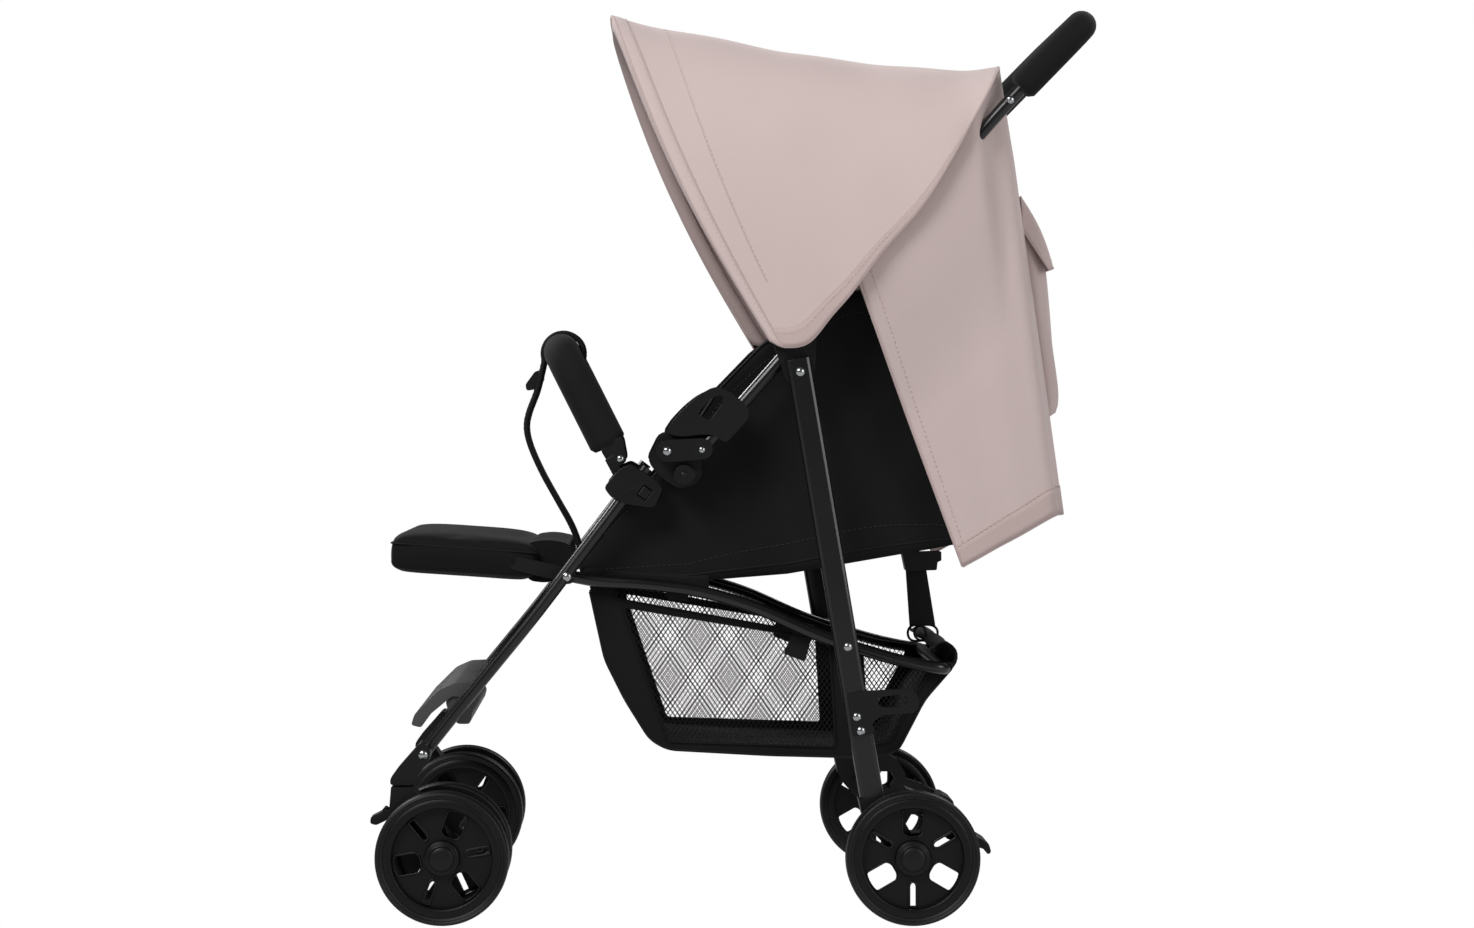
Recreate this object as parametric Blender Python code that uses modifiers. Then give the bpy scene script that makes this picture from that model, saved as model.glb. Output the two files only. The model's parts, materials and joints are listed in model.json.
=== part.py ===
"""A folding stroller with a reclined seat, a pink hood and a mesh shopping basket.

Metres, +Z up. The front of the stroller is at -X and its left side at -Y. The origin lies on the
floor, in the middle of the object's box. Sizes are read off a side view whose wheels are 150 mm.
"""

import math

import bmesh
import bpy
import numpy as np
from mathutils import Matrix, Vector

# Driving dimensions

FRONT_AXLE = (-0.3298, 0.0750)
REAR_AXLE = (0.1952, 0.0750)
WHEEL_R = 0.0750
WHEEL_W = 0.0260
OUTER_WHEEL_Y = 0.2395
CASTER_Y = 0.1995
CASTER_X = -0.3767
INNER_WHEEL_Y = 2 * CASTER_Y - OUTER_WHEEL_Y

FOLD_PIVOT = (-0.0785, 0.5286)
SEAT_PIVOT = (-0.1916, 0.3860)
REAR_LEG_PIVOT = (0.0708, 0.6176)
CROSSING = (0.1242, 0.3090)
HOOD_PIVOT = (0.0670, 0.6560)
RECLINE_PIVOT = (-0.0270, 0.4180)
LOCK_PIVOT = (-0.3965, 0.1200)
BRAKE_PIVOT = (0.2380, 0.1010)

LEG_Y = 0.1785
LEG_R = 0.0075
LEG_BEND = 0.0300
HANDLE_Y = 0.1975
HANDLE_R = 0.0075
REAR_LEG_Y = 0.2150
REAR_LEG_WIDE = 0.0270
REAR_LEG_THICK = 0.0130
SEAT_TUBE_Y = 0.1600
SEAT_TUBE_R = 0.0070
AXLE_R = 0.0045
GAP = 0.0003
RUNNING = 0.0005

HINGE_INNER_Y = (0.1690, 0.1878)
HINGE_OUTER_Y = (0.1885, 0.2070)

FRONT_LEG_PATH = [(-0.1016, 0.5100), (-0.1465, 0.4500), (-0.2328, 0.3365), (-0.3072, 0.2457),
                  (-0.3560, 0.1842)]
HANDLE_LOW = (-0.0389, 0.5310)
HANDLE_TOP = (0.3123, 0.9290)
GRIP_CENTRE = (0.3960, 1.0150)
GRIP_R = 0.0170
BUMPER_BEND = 0.0450
SEAT_TUBE_PATH = [(-0.1916, 0.3860), (-0.1560, 0.3790), (-0.1090, 0.3770), (-0.0405, 0.3690),
                  (0.0235, 0.3502), (0.0874, 0.3205), (0.1242, 0.3075), (0.1845, 0.2897),
                  (0.2164, 0.2828)]
SEAT_TUBE_REAR = 0.2400

SIDES = {"left": -1, "right": 1}

COLOURS = {
    "steel": ((0.012, 0.012, 0.013), 0.35, 0.4),
    "plastic": ((0.018, 0.018, 0.019), 0.55, 0.0),
    "grey_plastic": ((0.20, 0.20, 0.20), 0.6, 0.0),
    "bright_steel": ((0.6, 0.6, 0.6), 0.3, 1.0),
    "foam": ((0.015, 0.015, 0.015), 0.9, 0.0),
    "tyre": ((0.013, 0.013, 0.013), 0.7, 0.0),
    "pink_cloth": ((0.56, 0.42, 0.40), 0.9, 0.0),
    "black_cloth": ((0.010, 0.010, 0.011), 0.9, 0.0),
    "mesh_cloth": ((0.03, 0.03, 0.03), 0.9, 0.0),
    "webbing": ((0.012, 0.012, 0.012), 0.8, 0.0),
}


# Scene helpers

def clear_scene():
    """Remove every object of the scene."""
    for obj in list(bpy.data.objects):
        bpy.data.objects.remove(obj, do_unlink=True)


def collection(name):
    """Make a collection of the scene."""
    made = bpy.data.collections.new(name)
    bpy.context.scene.collection.children.link(made)
    return made


def material_for(name, kind):
    """Give a piece its own Principled material."""
    colour, roughness, metallic = COLOURS[kind]
    material = bpy.data.materials.new(name)
    material.use_nodes = True
    shader = material.node_tree.nodes["Principled BSDF"]
    shader.inputs["Base Color"].default_value = (*colour, 1.0)
    shader.inputs["Roughness"].default_value = roughness
    shader.inputs["Metallic"].default_value = metallic
    return material


def finish_bmesh(name, bm, home):
    """Turn a bmesh into an object of a collection, with its faces pointing out."""
    bmesh.ops.recalc_face_normals(bm, faces=bm.faces)
    mesh = bpy.data.meshes.new(name)
    bm.to_mesh(mesh)
    bm.free()
    obj = bpy.data.objects.new(name, mesh)
    home.objects.link(obj)
    return obj


def baked(obj, name, home, weld=0.00005):
    """Replace an object by the mesh that its modifiers or its curve make, in world coordinates."""
    bpy.context.view_layer.update()
    graph = bpy.context.evaluated_depsgraph_get()
    mesh = bpy.data.meshes.new_from_object(obj.evaluated_get(graph))
    bm = bmesh.new()
    bm.from_mesh(mesh)
    bmesh.ops.remove_doubles(bm, verts=bm.verts, dist=weld)
    bmesh.ops.transform(bm, matrix=obj.matrix_world, verts=bm.verts)
    bpy.data.meshes.remove(mesh)
    bpy.data.objects.remove(obj, do_unlink=True)
    return finish_bmesh(name, bm, home)


def tube(name, points, radius, home, sides=2):
    """A round tube along 3-D points, welded shut at its ends."""
    curve = bpy.data.curves.new(name, "CURVE")
    curve.dimensions = "3D"
    curve.bevel_depth = radius
    curve.bevel_resolution = sides
    curve.use_fill_caps = True
    spline = curve.splines.new("POLY")
    spline.points.add(len(points) - 1)
    for point, at in zip(spline.points, points):
        point.co = (*at, 1.0)
    obj = bpy.data.objects.new(name, curve)
    home.objects.link(obj)
    return baked(obj, name, home)


def prism(name, outline, y_range, home, holes=()):
    """A flat outline in the XZ plane, as thick as y_range, with its holes."""
    curve = bpy.data.curves.new(name, "CURVE")
    curve.dimensions = "2D"
    curve.fill_mode = "BOTH"
    curve.extrude = abs(y_range[1] - y_range[0]) / 2
    for points in (outline, *holes):
        spline = curve.splines.new("POLY")
        spline.use_cyclic_u = True
        spline.points.add(len(points) - 1)
        for point, at in zip(spline.points, points):
            point.co = (at[0], at[1], 0.0, 1.0)
    obj = bpy.data.objects.new(name, curve)
    obj.rotation_euler = (math.pi / 2, 0, 0)
    obj.location = (0, sum(y_range) / 2, 0)
    home.objects.link(obj)
    return baked(obj, name, home)


def turned(name, profile, centre, home, segments=28, outward=1):
    """A profile of (radius, along Y) turned about the Y axis through centre."""
    mesh = bpy.data.meshes.new(name)
    points = [(radius, 0.0, along) for radius, along in profile]
    mesh.from_pydata(points, [(i, i + 1) for i in range(len(points) - 1)], [])
    obj = bpy.data.objects.new(name, mesh)
    home.objects.link(obj)
    screw = obj.modifiers.new("turn", "SCREW")
    screw.axis = "Z"
    screw.steps = screw.render_steps = segments
    screw.use_merge_vertices = True
    screw.merge_threshold = 0.00005
    obj.rotation_euler = (-outward * math.pi / 2, 0, 0)
    obj.location = centre
    return baked(obj, name, home)


def cylinder(name, start, end, radius, home, segments=16):
    """A solid cylinder between two points."""
    start, end = Vector(start), Vector(end)
    bm = bmesh.new()
    bmesh.ops.create_cone(bm, cap_ends=True, segments=segments, radius1=radius, radius2=radius,
                          depth=(end - start).length)
    turn = (end - start).to_track_quat("Z", "Y").to_matrix().to_4x4()
    bmesh.ops.transform(bm, matrix=Matrix.Translation((start + end) / 2) @ turn, verts=bm.verts)
    return finish_bmesh(name, bm, home)


def bar(name, start, end, wide, thick, y, home, corner=0.0):
    """A straight flat bar from start to end in the XZ plane at one Y, with rounded long edges."""
    (x0, z0), (x1, z1) = start, end
    length = math.hypot(x1 - x0, z1 - z0)
    bm = bmesh.new()
    bmesh.ops.create_cube(bm, size=1.0)
    bmesh.ops.scale(bm, vec=(length, thick, wide), verts=bm.verts)
    if corner:
        long_edges = [edge for edge in bm.edges
                      if abs(edge.verts[0].co.x - edge.verts[1].co.x) > length / 2]
        bmesh.ops.bevel(bm, geom=long_edges, offset=corner, segments=2, affect="EDGES", profile=0.5)
    turn = Matrix.Rotation(-math.atan2(z1 - z0, x1 - x0), 4, "Y")
    centre = Vector(((x0 + x1) / 2, y, (z0 + z1) / 2))
    bmesh.ops.transform(bm, matrix=Matrix.Translation(centre) @ turn, verts=bm.verts)
    return finish_bmesh(name, bm, home)


def combine(obj, others, operation):
    """Join or cut an object by others with exact Booleans, and keep the result as its mesh."""
    for other in others:
        boolean = obj.modifiers.new(operation.lower(), "BOOLEAN")
        boolean.operation = operation
        boolean.solver = "EXACT"
        boolean.object = other
    home = obj.users_collection[0]
    name = obj.name
    made = baked(obj, name + "_made", home, weld=0.00001)
    for other in others:
        bpy.data.objects.remove(other, do_unlink=True)
    made.name = name
    return made


def cut(obj, *others):
    """Cut others out of an object."""
    return combine(obj, others, "DIFFERENCE")


def join(obj, *others):
    """Join others to an object."""
    return combine(obj, others, "UNION")


def softened(obj, width, angle=40, segments=1):
    """Bevel the sharp edges of an object by a live modifier."""
    bevel = obj.modifiers.new("edges", "BEVEL")
    bevel.width = width
    bevel.segments = segments
    bevel.limit_method = "ANGLE"
    bevel.angle_limit = math.radians(angle)
    return obj


# Outline helpers

def arc(centre, radius, start, stop, steps):
    """Points of an arc in the XZ plane, angles in degrees."""
    angles = np.radians(np.linspace(start, stop, steps + 1))
    return [(centre[0] + radius * math.cos(a), centre[1] + radius * math.sin(a)) for a in angles]


def about(pivot, offsets):
    """Points given in millimetres from a pivot."""
    return [(pivot[0] + dx / 1000, pivot[1] + dz / 1000) for dx, dz in offsets]


def capsule(a, b, radius_a, radius_b, steps=6):
    """The outline round two discs, as of a link with two eyes."""
    angle = math.degrees(math.atan2(b[1] - a[1], b[0] - a[0]))
    return (arc(b, radius_b, angle - 90, angle + 90, steps)
            + arc(a, radius_a, angle + 90, angle + 270, steps))


def rounded(points, radius, steps=2):
    """A closed outline with each corner turned into a small arc."""
    made = []
    count = len(points)
    for i, corner in enumerate(points):
        here = Vector(corner)
        before, after = Vector(points[i - 1]), Vector(points[(i + 1) % count])
        reach = min(radius, (before - here).length * 0.45, (after - here).length * 0.45)
        start = here + (before - here).normalized() * reach
        end = here + (after - here).normalized() * reach
        for step in range(steps + 1):
            t = step / steps
            at = start * (1 - t) ** 2 + here * 2 * t * (1 - t) + end * t ** 2
            made.append((at.x, at.y))
    return made


def bent(points, radius, steps=5):
    """An open 3-D path with its inner corners turned into arcs."""
    made = [tuple(points[0])]
    for before, here, after in zip(points, points[1:], points[2:]):
        before, here, after = Vector(before), Vector(here), Vector(after)
        reach = min(radius, (before - here).length * 0.49, (after - here).length * 0.49)
        start = here + (before - here).normalized() * reach
        end = here + (after - here).normalized() * reach
        for step in range(steps + 1):
            t = step / steps
            made.append(tuple(start * (1 - t) ** 2 + here * 2 * t * (1 - t) + end * t ** 2))
    made.append(tuple(points[-1]))
    return made


def along(start, end, distance):
    """The point this far from start towards end, in the XZ plane."""
    length = math.hypot(end[0] - start[0], end[1] - start[1])
    t = distance / length
    return (start[0] + (end[0] - start[0]) * t, start[1] + (end[1] - start[1]) * t)


def smooth_value(at, knots):
    """A value read between (place, value) knots, in a straight line."""
    places, values = zip(*knots)
    return float(np.interp(at, places, values))


def shell(name, grid, thickness, home):
    """A thin closed sheet: a grid of points, given its thickness by Solidify."""
    rows, columns = grid.shape[:2]
    faces = [(r * columns + c, r * columns + c + 1, (r + 1) * columns + c + 1, (r + 1) * columns + c)
             for r in range(rows - 1) for c in range(columns - 1)]
    mesh = bpy.data.meshes.new(name)
    mesh.from_pydata(grid.reshape(-1, 3).tolist(), [], faces)
    obj = bpy.data.objects.new(name, mesh)
    home.objects.link(obj)
    solid = obj.modifiers.new("cloth", "SOLIDIFY")
    solid.thickness = thickness
    solid.offset = 0.0
    return obj


# Front frame

def front_leg(side, sign, home):
    """One front leg tube, with the pin that carries the seat tube and the legrest."""
    y = sign * LEG_Y
    path = [(x, y, z) for x, z in FRONT_LEG_PATH]
    leg = tube(f"front_leg_{side}", bent(path, LEG_BEND, 2), LEG_R, home)
    pin = cylinder("pin", (SEAT_PIVOT[0], sign * 0.1390, SEAT_PIVOT[1]),
                   (SEAT_PIVOT[0], sign * 0.1875, SEAT_PIVOT[1]), 0.0032, home, 10)
    return join(leg, pin)


def leg_bore(sign, home, extra=GAP):
    """A cutter along the front leg, a hair wider than its tube."""
    path = [(x, sign * LEG_Y, z) for x, z in FRONT_LEG_PATH]
    return tube("bore", bent(path, LEG_BEND, 2), LEG_R + extra, home)


def hinge_lower(side, sign, home):
    """The lower half of the fold joint: a cheek round the leg's top, its pin and its lock lobe."""
    outline = about(FOLD_PIVOT, [(-14, 5), (-22, -11), (-12, -25), (2, -36), (14, -43),
                                 (31, -39), (40, -28), (38, -12), (31, 5), (19, 16), (4, 22), (-8, 18)])
    low, high = (sign * y for y in HINGE_INNER_Y)
    cheek = prism(f"hinge_lower_{side}", rounded(outline, 0.006), (low, high), home)
    cheek = cut(cheek, leg_bore(sign, home))
    lobe_at = about(FOLD_PIVOT, [(19, -27)])[0]
    lobe = prism("lobe", arc(lobe_at, 0.0115, 0, 337.5, 15), (sign * 0.180, sign * 0.2050), home)
    pin = prism("pin", arc(FOLD_PIVOT, 0.0035, 0, 330, 11), (sign * 0.180, sign * 0.2080), home)
    return join(cheek, lobe, pin)


def bumper_line(sign):
    """The centre line of one arm of the bumper bar, from its socket up."""
    return [(-0.1390, sign * 0.1640, 0.5230), (-0.1480, sign * 0.1620, 0.5400)]


def socket_peg(sign, home):
    """The flat peg of a bumper end."""
    return bar("peg", (-0.1312, 0.4965), (-0.1440, 0.5207), 0.0110, 0.0080, sign * 0.1755, home)


def bumper_socket(side, sign, home):
    """The clip on the leg that holds the bumper bar, with a window for its button."""
    outline = [(-0.1500, 0.4870), (-0.1330, 0.5080), (-0.1200, 0.5140), (-0.0905, 0.4960),
               (-0.0830, 0.4860), (-0.0930, 0.4640), (-0.1240, 0.4680), (-0.1420, 0.4760)]
    clip = prism(f"bumper_socket_{side}", rounded(outline, 0.004), (sign * 0.1685, sign * 0.1872), home)
    pocket = bar("pocket", (-0.1309, 0.4960), (-0.1500, 0.5322), 0.0120, 0.0090, sign * 0.1755, home)
    seat = bar("seat", (-0.1079, 0.4756), (-0.0995, 0.4868), 0.0122, 0.010, sign * 0.1860, home)
    clip = cut(clip, leg_bore(sign, home))
    return cut(clip, pocket, seat)


def bumper_button(side, sign, home):
    """The push button that frees the bumper bar."""
    return bar(f"bumper_button_{side}", (-0.1073, 0.4764), (-0.1001, 0.4860), 0.0110, 0.0036,
               sign * 0.1861, home, 0.001)


def front_foot(side, sign, home):
    """The moulded foot that ends a leg and takes the caster's stem."""
    outline = [(-0.3440, 0.1930), (-0.3560, 0.2010), (-0.3690, 0.1860), (-0.3840, 0.1690),
               (-0.3900, 0.1600), (-0.3900, 0.1530), (-0.3640, 0.1530), (-0.3590, 0.1640),
               (-0.3470, 0.1790)]
    foot = prism(f"front_foot_{side}", rounded(outline, 0.004), (sign * 0.1675, sign * 0.2130), home)
    stem = cylinder("stem", (CASTER_X, sign * CASTER_Y, 0.1480), (CASTER_X, sign * CASTER_Y, 0.1680),
                    0.0055, home, 12)
    return cut(foot, leg_bore(sign, home), stem)


def footrest(home):
    """The step across the front legs: a ribbed tread with slots over a cross bar."""
    tread = [(-0.3700, 0.2160), (-0.3660, 0.2285), (-0.3380, 0.2560), (-0.3200, 0.2640),
             (-0.2990, 0.2650), (-0.2960, 0.2600), (-0.3080, 0.2470), (-0.3230, 0.2490),
             (-0.3520, 0.2250), (-0.3580, 0.2130)]
    step = prism("footrest", rounded(tread, 0.003, 2), (-0.1680, 0.1680), home)
    slots = []
    for row, (x, z) in enumerate([(-0.3520, 0.2400), (-0.3380, 0.2530)]):
        for column in range(-2, 3):
            y = column * 0.060 + (0.015 if row else -0.015)
            slots.append(bar("slot", (x - 0.012, z + 0.012), (x + 0.014, z - 0.014), 0.0045, 0.026,
                             y, home))
    step = cut(step, *slots)
    web = prism("web", rounded([(-0.3310, 0.2430), (-0.3160, 0.2510), (-0.3000, 0.2290),
                                (-0.3030, 0.2170), (-0.3170, 0.2170), (-0.3270, 0.2290)], 0.003, 2),
                (-0.1650, 0.1650), home)
    return join(step, web)


# Casters and wheels

def caster_fork(side, sign, home):
    """The swivelling fork between a pair of front wheels, with its stem and axle eye."""
    x, z = FRONT_AXLE
    outline = ([(CASTER_X - 0.0120, 0.1510), (CASTER_X - 0.0140, 0.1260), (-0.3830, 0.1120)]
               + arc((x, z), 0.0150, 200, 380, 6)
               + [(-0.3280, 0.1050), (-0.3420, 0.1290), (-0.3600, 0.1440), (CASTER_X + 0.0120, 0.1510)])
    y = sign * CASTER_Y
    fork = prism(f"caster_fork_{side}", outline, (y - 0.0190, y + 0.0190), home)
    pocket = rounded([(-0.3650, 0.1330), (-0.3450, 0.1150), (-0.3420, 0.0970), (-0.3560, 0.0980),
                      (-0.3720, 0.1170)], 0.004, 2)
    pockets = [prism("pocket", pocket, (y + face * 0.004, y + face * 0.030), home) for face in (-1, 1)]
    bore = cylinder("bore", (x, y - 0.03, z), (x, y + 0.03, z), AXLE_R + GAP, home, 14)
    fork = cut(fork, bore, *pockets)
    stem = cylinder("stem", (CASTER_X, y, 0.1450), (CASTER_X, y, 0.1660), 0.0048, home, 12)
    ears = [prism("ear", capsule((-0.3800, LOCK_PIVOT[1]), LOCK_PIVOT, 0.0060, 0.0048, 3),
                  (y + face * 0.0116, y + face * 0.0150), home) for face in (-1, 1)]
    pin = cylinder("pin", (LOCK_PIVOT[0], y - 0.0130, LOCK_PIVOT[1]),
                   (LOCK_PIVOT[0], y + 0.0130, LOCK_PIVOT[1]), 0.0020, home, 8)
    return join(fork, stem, *ears, pin)


def rim_profile():
    """Half a wheel's section, from the hub cap's centre out and back to the blind axle bore."""
    half = WHEEL_W / 2
    return [(0.0, half), (0.0134, half), (0.0196, half - 0.0040),
            (0.0200, half - 0.0095), (0.0560, half - 0.0105), (0.0575, half - 0.0018),
            (0.0655, half - 0.0018), (0.0655, -half + 0.0018), (0.0575, -half + 0.0018),
            (0.0560, -half + 0.0105), (0.0180, -half + 0.0095), (0.0150, -half + 0.0004),
            (AXLE_R + GAP, -half + 0.0004), (AXLE_R + GAP, 0.0075), (0.0, 0.0075)]


def rim_windows(centre, phase, y, home):
    """Three wide windows and three narrow slots, as one cutter of a wheel's web."""
    cutters = []
    for index in range(3):
        for turn, shape in ((90 + 120 * index, [(0.0220, -0.0060), (0.0270, -0.0115), (0.0540, -0.0115),
                                                (0.0555, 0.0), (0.0540, 0.0115), (0.0270, 0.0115),
                                                (0.0220, 0.0060)]),
                            (30 + 120 * index, [(0.0266, 0.0), (0.0300, -0.0045), (0.0550, -0.0045),
                                                (0.0550, 0.0045), (0.0300, 0.0045)])):
            angle = math.radians(turn + phase)
            outline = [(centre[0] + r * math.cos(angle) - w * math.sin(angle),
                        centre[1] + r * math.sin(angle) + w * math.cos(angle)) for r, w in shape]
            cutters.append(prism("window", outline, (y - 0.008, y + 0.008), home))
    return cutters


def wheel(name, centre, y, outward, phase, home):
    """A rim with its windows, cap and blind bore, and the tyre round it."""
    at = (centre[0], y, centre[1])
    rim = turned(f"{name}_rim", rim_profile(), at, home, 16, outward)
    rim = cut(rim, *rim_windows(centre, phase, y, home))
    half = WHEEL_W / 2
    ring = [(0.0666, half - 0.0030), (0.0715, half), (WHEEL_R, half - 0.0060),
            (WHEEL_R, -half + 0.0060), (0.0715, -half),
            (0.0666, -half + 0.0030), (0.0666, half - 0.0030)]
    tyre = turned(f"{name}_tyre", ring, at, home, 24, outward)
    return rim, tyre


def front_axle(side, sign, home):
    """The steel axle through a fork and into both of its wheels."""
    x, z = FRONT_AXLE
    reach = (OUTER_WHEEL_Y - CASTER_Y) + 0.0060
    y = sign * CASTER_Y
    return cylinder(f"front_axle_{side}", (x, y - reach, z), (x, y + reach, z), AXLE_R, home, 14)


def swivel_lock(side, sign, home):
    """The toe lever in front of a fork that stops it from swivelling."""
    y = sign * CASTER_Y
    outline = [(-0.3935, 0.1262), (-0.3970, 0.1275), (-0.4010, 0.1220), (-0.4122, 0.1165),
               (-0.4127, 0.1095), (-0.4060, 0.1075), (-0.3935, 0.1135)]
    return prism(f"swivel_lock_{side}", rounded(outline, 0.002, 2), (y - 0.0110, y + 0.0110), home,
                 [arc(LOCK_PIVOT, 0.0020 + RUNNING, 0, 315, 7)])


# Handle and fold joint

def handle_outline():
    """The handle's path: up one side, over the grip and down the other side."""
    low, top, grip = HANDLE_LOW, HANDLE_TOP, GRIP_CENTRE
    left = [(low[0], -HANDLE_Y, low[1]), (top[0], -HANDLE_Y, top[1]), (grip[0], -HANDLE_Y, grip[1])]
    right = [(x, -y, z) for x, y, z in reversed(left)]
    return left, right


def handle_tube(home):
    """The bent steel tube of the handle, one piece from joint to joint."""
    left, right = handle_outline()
    return tube("handle_tube", bent(left + right, 0.055, 5), HANDLE_R, home)


def handle_grip(home):
    """The foam sleeve over the top of the handle."""
    left, right = handle_outline()
    start = along(GRIP_CENTRE, HANDLE_TOP, 0.1080)
    path = [(start[0], -HANDLE_Y, start[1]), left[-1], right[0], (start[0], HANDLE_Y, start[1])]
    sleeve = tube("handle_grip", bent(path, 0.055, 5), GRIP_R, home)
    return cut(sleeve, tube("bore", bent(left + right, 0.055, 5), HANDLE_R + GAP, home))


def hinge_upper(side, sign, home):
    """The upper half of the fold joint: an eye on the fold pin and a sleeve on the handle's end."""
    low, high = (sign * y for y in HINGE_OUTER_Y)
    link = prism(f"hinge_upper_{side}", capsule(FOLD_PIVOT, HANDLE_LOW, 0.0125, 0.0120),
                 (low, high), home)
    eye = prism("eye", arc(FOLD_PIVOT, 0.0035 + RUNNING, 0, 330, 11), (sign * 0.17, sign * 0.22), home)
    left, _ = handle_outline()
    path = [(x, sign * HANDLE_Y, z) for x, _, z in left[:2]]
    return cut(link, eye, tube("bore", path, HANDLE_R + GAP, home))


def fold_release(side, sign, home):
    """The sliding catch on the handle tube, with a finger slot through it."""
    outline = about(FOLD_PIVOT, [(-2, 20), (8, 36), (24, 53), (40, 66), (54, 73), (66, 70), (90, 52),
                                 (93, 38), (66, 8), (56, 17), (40, 19), (16, 16)])
    slot = about(FOLD_PIVOT, [(34, 42), (48, 58), (60, 64), (66, 58), (48, 34)])
    low, high = (sign * y for y in HINGE_OUTER_Y)
    slider = prism(f"fold_release_{side}", rounded(outline, 0.006), (low, high), home,
                   [rounded(slot, 0.004)])
    left, _ = handle_outline()
    path = [(x, sign * HANDLE_Y, z) for x, _, z in left[:2]]
    return cut(slider, tube("bore", path, HANDLE_R + GAP, home))


def rear_leg_bracket(side, sign, home):
    """The moulded bracket clamped on the handle tube: it carries the rear leg and the hood."""
    outline = [(0.0415, 0.6500), (0.0560, 0.6050), (0.0640, 0.6040), (0.0780, 0.6040),
               (0.0880, 0.6160), (0.0900, 0.6640), (0.0760, 0.6900), (0.0600, 0.6800)]
    bracket = prism(f"rear_leg_bracket_{side}", rounded(outline, 0.006), (sign * 0.1800, sign * 0.2078),
                    home)
    left, _ = handle_outline()
    path = [(x, sign * HANDLE_Y, z) for x, _, z in left[:2]]
    bracket = cut(bracket, tube("bore", path, HANDLE_R + GAP, home))
    pins = [prism("pin", arc(at, 0.0035, 0, 330, 11), (sign * 0.2060, sign * 0.2218), home)
            for at in (REAR_LEG_PIVOT, HOOD_PIVOT)]
    return join(bracket, *pins)


# Rear frame

def rear_leg(side, sign, home):
    """One flat rear leg, with its eye at the top and the spacer that meets the seat tube."""
    y = sign * REAR_LEG_Y
    foot = (0.1548, 0.1200)
    top = along(REAR_LEG_PIVOT, foot, -0.0150)
    leg = bar(f"rear_leg_{side}", top, foot, REAR_LEG_WIDE, REAR_LEG_THICK, y, home, 0.004)
    eye = cylinder("eye", (REAR_LEG_PIVOT[0], sign * 0.2, REAR_LEG_PIVOT[1]),
                   (REAR_LEG_PIVOT[0], sign * 0.23, REAR_LEG_PIVOT[1]), 0.0035 + RUNNING, home, 14)
    leg = cut(leg, eye)
    spacer = cylinder("spacer", (CROSSING[0], sign * (SEAT_TUBE_Y + SEAT_TUBE_R + 0.0012), CROSSING[1]),
                      (CROSSING[0], sign * 0.2120, CROSSING[1]), 0.0065, home, 12)
    return join(leg, spacer)


def rear_housing(side, sign, home):
    """The moulded housing on a rear leg's foot, open in the middle, that carries axle and brake."""
    x, z = REAR_AXLE
    outline = ([(0.1360, 0.1390), (0.1675, 0.1405), (0.1800, 0.1470), (0.1885, 0.1510), (0.2000, 0.1465),
                (0.2150, 0.1360), (0.2250, 0.1200), (0.2275, 0.1030), (0.2190, 0.0900)]
               + arc((x, z), 0.0150, 20, -160, 8)
               + [(0.1660, 0.0860), (0.1480, 0.1060), (0.1400, 0.1200)])
    hole = arc((0.2010, 0.1110), 0.0120, 0, 300, 5)
    housing = prism(f"rear_housing_{side}", outline, (sign * 0.1960, sign * 0.2240), home, [hole])
    axle = cylinder("bore", (x, sign * 0.18, z), (x, sign * 0.24, z), AXLE_R + GAP, home, 14)
    foot, top = (0.1548, 0.1200), REAR_LEG_PIVOT
    pocket = bar("pocket", top, along(foot, top, -GAP), REAR_LEG_WIDE + 2 * GAP,
                 REAR_LEG_THICK + 2 * GAP, sign * REAR_LEG_Y, home)
    housing = cut(housing, axle, pocket)
    pin = prism("pin", arc(BRAKE_PIVOT, 0.0030, 0, 330, 11), (sign * 0.1960, sign * 0.2236), home)
    ear = prism("ear", capsule((0.2220, 0.1030), BRAKE_PIVOT, 0.0110, 0.0080, 4),
                (sign * 0.1960, sign * 0.2020), home)
    return join(housing, ear, pin)


def rear_axle(home):
    """The steel axle from wheel to wheel."""
    x, z = REAR_AXLE
    reach = OUTER_WHEEL_Y + 0.0060
    return cylinder("rear_axle", (x, -reach, z), (x, reach, z), AXLE_R, home, 14)


def rear_cross_tube(home):
    """The tube that holds the two rear legs apart."""
    return cylinder("rear_cross_tube", (0.1700, -0.1957, 0.1120), (0.1700, 0.1957, 0.1120), 0.0090,
                    home, 14)


def brake(side, sign, home):
    """The foot brake behind a rear wheel: an eye, an arm and a ribbed pedal."""
    arm = prism(f"brake_{side}", capsule(BRAKE_PIVOT, (0.2640, 0.0890), 0.0075, 0.0060, 4),
                (sign * 0.2026, sign * 0.2236), home,
                [arc(BRAKE_PIVOT, 0.0030 + RUNNING, 0, 330, 11)])
    pedal = prism("pedal", rounded([(0.2580, 0.0950), (0.2700, 0.0960), (0.2820, 0.0890),
                                    (0.2850, 0.0790), (0.2810, 0.0760), (0.2760, 0.0830),
                                    (0.2600, 0.0860)], 0.0025, 2), (sign * 0.1650, sign * 0.2236), home)
    return join(arm, pedal)


def fold_catch(home):
    """The hooked plate riveted to the left rear leg, with its long slot."""
    outline = ([(0.1235, 0.2560), (0.1420, 0.2600), (0.1700, 0.2615)]
               + arc((0.1900, 0.2475), 0.0140, 80, -60, 7)
               + [(0.1640, 0.2330), (0.1510, 0.2250), (0.1540, 0.2120), (0.1290, 0.2090)])
    slot = capsule((0.1640, 0.2475), (0.1830, 0.2490), 0.0060, 0.0075)
    return prism("fold_catch", rounded(outline, 0.002, 1), (-0.2250, -0.2218), home, [slot])


# Seat frame and soft parts

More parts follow.
